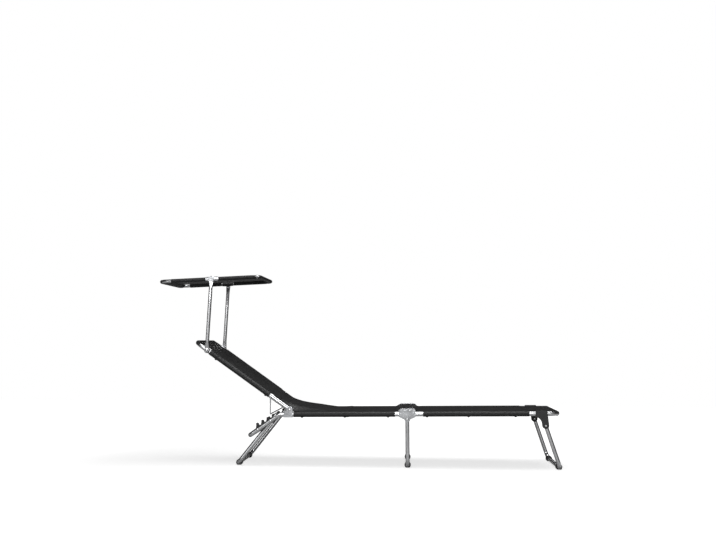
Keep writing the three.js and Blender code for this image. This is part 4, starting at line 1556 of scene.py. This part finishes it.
spanning = Route([head_bar, (MEETING_X, 0), seam_end], [MEETING_TRIMS])
span_start = back_sleeve[1]
span_end = head_route.length_to((SPAN_END_X, 0))
spanning_end = spanning.length_to((SPAN_END_X, 0))


def spanned(along, level):
    """Where the middle of the cloth lies, for the same length along the pattern."""
    share = (along - span_start) / (span_end - span_start)
    if share <= 0:
        own = along
    elif share < 1:
        own = span_start + share * (spanning_end - span_start)
    else:
        own = spanning_end + along - span_end
    middle, up, _ = spanning.at(own)
    inside = min(1, max(0, share))
    proud = SEAT_SWELL * math.sin(math.pi * inside**SWELL_LEAN) ** 2
    proud += HINGE_LIFT * (smooth_step(*LIFT_RISE, inside) - smooth_step(*LIFT_FALL, inside))
    return middle + up * (level + proud)


print("the span is", round((span_end - span_start) / MM), "mm of cloth")

# %% [markdown]
# ## Patterns of the bed slings
# Each sling is wide where it has sleeves. It is a narrow tongue at the hinge, where brackets stand beside
# it, and narrow again at the end, where it goes round the crossbar between the tube's bends. The inner
# corners are cut round, because cloth tears from a sharp one.

# %% Outlines of the bed slings
SLEEVE_OUTER = HALF_SPACING + wrap_length(SLEEVE_RADIUS)
END_HALF = 240 * MM
END_CORNER = 26 * MM
TONGUE_HALF = 260 * MM
TONGUE_CORNER = 12 * MM
FOLD_TONGUE_HALF = 274 * MM
FOLD_CORNER = 6 * MM
SEAT_SLEEVE = (-565 * MM, -61 * MM)
FOOT_SLEEVE = (79 * MM, 602 * MM)

seat_sleeve_start = head_route.length_to((SEAT_SLEEVE[0], 0))
wrap = wrap_length(SLEEVE_RADIUS)
head_outline = mirrored(
    [(-wrap, END_HALF), (back_sleeve[0] - END_CORNER, END_HALF)]
    + arc_between((back_sleeve[0] - END_CORNER, END_HALF + END_CORNER), END_CORNER, 270, 360)[1:]
    + [(back_sleeve[0], SLEEVE_OUTER), (back_sleeve[1], SLEEVE_OUTER)]
    + arc_between((back_sleeve[1] + TONGUE_CORNER, TONGUE_HALF + TONGUE_CORNER), TONGUE_CORNER, 180, 270)
    + arc_between((seat_sleeve_start - TONGUE_CORNER, TONGUE_HALF + TONGUE_CORNER), TONGUE_CORNER, 270, 360)
    + [(seat_sleeve_start, SLEEVE_OUTER), (head_end, SLEEVE_OUTER)]
)
fold_at = -SEAM_X + SEAM_LAP
foot_bar = FOOT_LENGTH - SEAM_X + SEAM_LAP
seat_sleeve_end, foot_sleeve_start, foot_sleeve_end = (
    x - SEAM_X + SEAM_LAP for x in (SEAT_SLEEVE[1], *FOOT_SLEEVE)
)
foot_outline = mirrored(
    [(0, SLEEVE_OUTER), (seat_sleeve_end, SLEEVE_OUTER)]
    + arc_between((seat_sleeve_end + FOLD_CORNER, FOLD_TONGUE_HALF + FOLD_CORNER), FOLD_CORNER, 180, 270)
    + arc_between((foot_sleeve_start - FOLD_CORNER, FOLD_TONGUE_HALF + FOLD_CORNER), FOLD_CORNER, 270, 360)
    + [(foot_sleeve_start, SLEEVE_OUTER), (foot_sleeve_end, SLEEVE_OUTER)]
    + arc_between((foot_sleeve_end + END_CORNER, END_HALF + END_CORNER), END_CORNER, 180, 270)
    + [(foot_bar + wrap, END_HALF)]
)
print("outlines of", len(head_outline), "and", len(foot_outline), "points")

# %% [markdown]
# ## How the bed slings hang
# A sling hangs through least at its end bars and where it is pulled tight over a hinge. At the middle fold
# its hem is turned up against the bracket's inner cheek as painted shade: the black cloth covers the cheek
# where the far bracket lies in shade.

# %% Sags of the bed slings
FOLD_CHEEK = 41 * MM
CHEEK_INSIDE = 4 * MM
CHEEK_OUTSIDE = 16 * MM
# The turned-up hem is painted shade: black cloth stands over the fold bracket's shaded inner cheek.
TURN_UP = math.radians(84)
TAUT_RISE = (110 * MM, 10 * MM)
TAUT_FALL = 60 * MM
TAUT = 0.9
FOLD_RUN = 90 * MM
FOLD_SAG = 0.45


def fold_turn_up(along, across):
    """How far the tongue's hem is turned up against the fold bracket's inner cheek, as black cloth that
    paints shade on it.
    """
    if across <= TURN_UP_AT:
        return 0
    off = abs(along - fold_at)
    return TURN_UP * (1 - smooth_step(FOLD_CHEEK - CHEEK_INSIDE, FOLD_CHEEK + CHEEK_OUTSIDE, off))


def head_sag(along):
    near_bar = smooth_step(0, SAG_RUN, along)
    taut = smooth_step(back_sleeve[1] - TAUT_RISE[0], back_sleeve[1] - TAUT_RISE[1], along)
    taut -= smooth_step(span_end - TAUT_FALL, span_end + TAUT_FALL, along)
    return SAG * near_bar * (1 - TAUT * taut)


def foot_sag(along):
    near_bar = smooth_step(0, SAG_RUN, foot_bar - along)
    at_fold = smooth_step(0, FOLD_RUN, abs(along - (seat_sleeve_end + foot_sleeve_start) / 2))
    return SAG * near_bar * (FOLD_SAG + (1 - FOLD_SAG) * at_fold)


some_sags = head_sag(head_end / 4), head_sag(span_start), foot_sag(fold_at)
print("sags", [round(sag / MM, 1) for sag in some_sags], "mm on the back, at its hinge and at the fold")

# %% [markdown]
# ## Sewing the bed slings
# Both are single cloths that cross a hinge, and they are laid as the lounger stands. Across the back hinge
# the first one is cut in closer lines, over a zone about as long as the free cloth between the sleeves on its
# two sides.

# %% Bed slings
HINGE_STEP = 4 * MM
HINGE_PAST = 30 * MM
LAP_RUN = 30 * MM
TURN_UP_ROUND = 3 * MM

hinge_end = seat_sleeve_start + HINGE_PAST
head_cuts = end_cuts(0, -1, SLEEVE_RADIUS) + steps_between(0, back_sleeve[1], PANEL_STEP)
head_cuts += steps_between(back_sleeve[1], hinge_end, HINGE_STEP)
head_cuts += steps_between(hinge_end, head_end, PANEL_STEP)
foot_cuts = steps_between(0, foot_bar, PANEL_STEP) + end_cuts(foot_bar, 1, SLEEVE_RADIUS)
across_cuts = side_cuts(SLEEVE_RADIUS, SLEEVE_OUTER)
# Lines for the turned-up hem that paints shade on the fold bracket's cheek.
turn_cuts = [side * place for side in (-1, 1) for place in (TURN_UP_AT, TURN_UP_AT + TURN_UP_ROUND)]

lap_zone = (head_end - LAP_RUN, head_end - 2 * SEAM_LAP)
head_placed = on_route(head_route, SLEEVE_RADIUS, (0, head_end), head_sag, lap_zone, spanned)
foot_placed = on_route(foot_route, SLEEVE_RADIUS, (0, foot_bar), foot_sag, turn_up=fold_turn_up)
head_cloth, head_flat, head_area = sewn_cloth(
    "sling_back_and_seat", head_outline, head_cuts, across_cuts, head_placed, bed_place
)
foot_cloth, foot_flat, foot_area = sewn_cloth(
    "sling_seat_and_foot", foot_outline, foot_cuts, across_cuts + turn_cuts, foot_placed, bed_place
)
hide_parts("back_sling", "seat_sling")
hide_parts("foot_sling")
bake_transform(head_cloth)
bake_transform(foot_cloth)
for cloth, flat, area in ((head_cloth, head_flat, head_area), (foot_cloth, foot_flat, foot_area)):
    cut_size = [round(side, 3) for side in flat]
    print(cloth.name, len(cloth.data.polygons), "faces, cut", cut_size, round(area, 3), "m2")

# %% [markdown]
# ## Pattern of the canopy sling
# The sunshade is one panel with a sleeve on each side and one at each end. It has gaps at the sides where the
# clamps hold the bows, and its corners are cut away round the bends.

# %% Outline of the canopy sling
CANOPY_SLEEVE_RADIUS = CANOPY_RADIUS + SLEEVE_GAP
CANOPY_OUTER = HALF_SPACING + wrap_length(CANOPY_SLEEVE_RADIUS)
CANOPY_REAR_SLEEVE = (-206 * MM, -33 * MM)
CANOPY_FRONT_SLEEVE = (33 * MM, 224 * MM)
CANOPY_STRAIGHT_HALF = HALF_SPACING - CANOPY_BEND
CANOPY_END_HALF = 266 * MM
CANOPY_CORNER = 6 * MM
INTO_BEND_STEP = 4 * MM
INTO_BEND_COUNT = 8

canopy_wrap = wrap_length(CANOPY_SLEEVE_RADIUS)
canopy_span = CANOPY_REAR + CANOPY_FRONT
rear_low, rear_high, front_low, front_high = (
    x + CANOPY_REAR for x in (*CANOPY_REAR_SLEEVE, *CANOPY_FRONT_SLEEVE)
)
into_bend = [step * INTO_BEND_STEP for step in range(INTO_BEND_COUNT)]
hem_turn = [(bend_in(reach, CANOPY_BEND) - canopy_wrap, CANOPY_STRAIGHT_HALF + reach) for reach in into_bend]
sleeve_turn = [
    (canopy_span - CANOPY_BEND + reach, CANOPY_OUTER - bend_in(reach, CANOPY_BEND)) for reach in into_bend
]
canopy_outline = mirrored(
    hem_turn
    + [(rear_low - CANOPY_CORNER, CANOPY_END_HALF)]
    + arc_between((rear_low - CANOPY_CORNER, CANOPY_END_HALF + CANOPY_CORNER), CANOPY_CORNER, 270, 360)[1:]
    + [(rear_low, CANOPY_OUTER), (rear_high, CANOPY_OUTER)]
    + arc_between((rear_high + TONGUE_CORNER, TONGUE_HALF + TONGUE_CORNER), TONGUE_CORNER, 180, 270)
    + arc_between((front_low - TONGUE_CORNER, TONGUE_HALF + TONGUE_CORNER), TONGUE_CORNER, 270, 360)
    + [(front_low, CANOPY_OUTER)]
    + sleeve_turn
    + arc_between((front_high + CANOPY_CORNER, CANOPY_END_HALF + CANOPY_CORNER), CANOPY_CORNER, 180, 270)
    + [(canopy_span - along, across) for along, across in reversed(hem_turn)]
)
print("canopy outline of", len(canopy_outline), "points,", round(canopy_span, 3), "m between its bars")

# %% [markdown]
# ## Sewing the canopy sling
# It is stretched between the two bows and tilts with them, so it rides on the canopy as one piece. It sags
# less than the bed slings, since nothing lies on it.

# %% Canopy sling
CANOPY_SAG = 0.8


def canopy_sag(along):
    near_rear = smooth_step(0, SAG_RUN, along)
    return CANOPY_SAG * SAG * near_rear * smooth_step(0, SAG_RUN, canopy_span - along)


canopy_cuts = steps_between(0, canopy_span, PANEL_STEP) + end_cuts(0, -1, CANOPY_SLEEVE_RADIUS)
canopy_cuts += end_cuts(canopy_span, 1, CANOPY_SLEEVE_RADIUS)
canopy_route = Route([(-CANOPY_REAR, 0), (CANOPY_FRONT, 0)], [])
canopy_placed = on_route(canopy_route, CANOPY_SLEEVE_RADIUS, (0, canopy_span), canopy_sag, bend=CANOPY_BEND)
canopy_cloth, canopy_flat, canopy_area = sewn_cloth(
    "sling_canopy", canopy_outline, canopy_cuts, side_cuts(CANOPY_SLEEVE_RADIUS, CANOPY_OUTER),
    canopy_placed, canopy_place,
)
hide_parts("canopy_sling")
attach(canopy_cloth, "canopy")
cut_size = [round(side, 3) for side in canopy_flat]
print(canopy_cloth.name, len(canopy_cloth.data.polygons), "faces, cut", cut_size, round(canopy_area, 3), "m2")

# %% [markdown]
# ## A stitch
# Twin rows of lockstitch close every sleeve, and a single row holds the hems. One stitch is modelled as a
# short, slightly sunk thread with tapered ends. It is copied along lines that are drawn on the flat pattern,
# so that the rows follow the cloth over the hinges and round the tubes.

# %% Stitch
STITCH_LENGTH = 3.0 * MM
STITCH_PITCH = 4.6 * MM
STITCH_RADIUS = 0.38 * MM
STITCH_TIP = 0.4 * STITCH_RADIUS
STITCH_TAPER = 0.5 * MM
STITCH_PROUD = 0.3

stitch_rings = [
    (0, STITCH_TIP), (STITCH_TAPER, STITCH_RADIUS),
    (STITCH_LENGTH - STITCH_TAPER, STITCH_RADIUS), (STITCH_LENGTH, STITCH_TIP),
]
template = turned((-STITCH_LENGTH / 2, 0, 0), (1, 0, 0), stitch_rings, sides=5)


def sewn_rows(name, rows, placed, place):
    """Copies the stitch along rows given by their two ends on the flat pattern, on top of the cloth."""
    sewing = bmesh.new()
    for first, last in rows:
        first, last = Vector(first), Vector(last)
        count = int((last - first).length / STITCH_PITCH)
        heading = (last - first).normalized()
        side = Vector((-heading.y, heading.x))
        for i in range(count):
            spot = first + heading * (i + 0.5) * STITCH_PITCH
            here = placed(*spot)
            along = (placed(*(spot + heading * MM)) - here).normalized()
            across = (placed(*(spot + side * MM)) - here).normalized()
            up = along.cross(across).normalized()
            if up.z < 0:
                up = -up
            turn = Matrix((along, up.cross(along), up)).transposed().to_4x4()
            here = here + up * (CLOTH / 2 + STITCH_PROUD * STITCH_RADIUS)
            start = len(sewing.verts)
            sewing.from_mesh(template.data)
            sewing.verts.ensure_lookup_table()
            moved = sewing.verts[start:]
            bmesh.ops.transform(sewing, matrix=Matrix.Translation(here) @ turn, verts=moved)
    threads = from_built(name, sewing, place)
    threads.data.materials.append(thread)
    return threads


print("a stitch has", len(template.data.polygons), "faces")

# %% [markdown]
# ## Sewing the rows
# The rows are the ones a sewing machine would run: twin rows along each sleeve and under each crossbar, one
# along each free hem, and two across the lapped seam. They are laid by the same map as the cloth, so they
# follow it over the hinges.

# %% Rows of stitches
SLEEVE_ROWS = (254 * MM, 257.4 * MM)
BAR_ROWS = (22 * MM, 25.4 * MM)
SEAM_ROWS = (4 * MM, 14 * MM)
SEAM_HALF = 276 * MM
ROW_INSET = 2 * MM
BAR_INSET = 6 * MM
LAP_CLEAR = 22 * MM
HEAD_HEM_INSET, HEAD_HEM_Y = 14 * MM, 252 * MM
FOOT_HEM_INSET, FOOT_HEM_Y = 8 * MM, 254 * MM


def both_sides(rows):
    return [((a, side * b), (c, side * d)) for (a, b), (c, d) in rows for side in (-1, 1)]


def sleeve_rows(spans):
    """Twin rows along each sleeve, from where they start to a little short of where the sleeve ends."""
    return [((low, row), (high - ROW_INSET, row)) for low, high in spans for row in SLEEVE_ROWS]


def bar_rows(bar, direction, half):
    """Twin rows across the cloth, where the crossbar's sleeve is closed."""
    return [((bar - direction * reach, -half), (bar - direction * reach, half)) for reach in BAR_ROWS]


head_spans = [(back_sleeve[0] + ROW_INSET, back_sleeve[1]), (seat_sleeve_start + ROW_INSET, head_end)]
foot_spans = [(LAP_CLEAR, seat_sleeve_end), (foot_sleeve_start + ROW_INSET, foot_sleeve_end)]
canopy_spans = [(rear_low + ROW_INSET, rear_high), (front_low + ROW_INSET, front_high)]
head_hem = [(
    (back_sleeve[1] + HEAD_HEM_INSET, HEAD_HEM_Y), (seat_sleeve_start - HEAD_HEM_INSET, HEAD_HEM_Y)
)]
foot_hem = [(
    (seat_sleeve_end + FOOT_HEM_INSET, FOOT_HEM_Y), (foot_sleeve_start - FOOT_HEM_INSET, FOOT_HEM_Y)
)]
head_seam = [((head_end - place, -SEAM_HALF), (head_end - place, SEAM_HALF)) for place in SEAM_ROWS]
head_rows = both_sides(sleeve_rows(head_spans) + head_hem) + bar_rows(0, -1, END_HALF - BAR_INSET) + head_seam
foot_rows = both_sides(sleeve_rows(foot_spans) + foot_hem) + bar_rows(foot_bar, 1, END_HALF - BAR_INSET)
canopy_rows = both_sides(sleeve_rows(canopy_spans)) + bar_rows(0, -1, CANOPY_END_HALF - BAR_INSET)
canopy_rows += bar_rows(canopy_span, 1, CANOPY_END_HALF - BAR_INSET)
head_threads = sewn_rows("stitches_back_and_seat", head_rows, head_placed, bed_place)
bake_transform(head_threads)
foot_threads = sewn_rows("stitches_seat_and_foot", foot_rows, foot_placed, bed_place)
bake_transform(foot_threads)
canopy_threads = sewn_rows("stitches_canopy", canopy_rows, canopy_placed, canopy_place)
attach(canopy_threads, "canopy")
for threads in (head_threads, foot_threads, canopy_threads):
    print(threads.name, len(threads.data.polygons), "faces")
bpy.data.objects.remove(template)
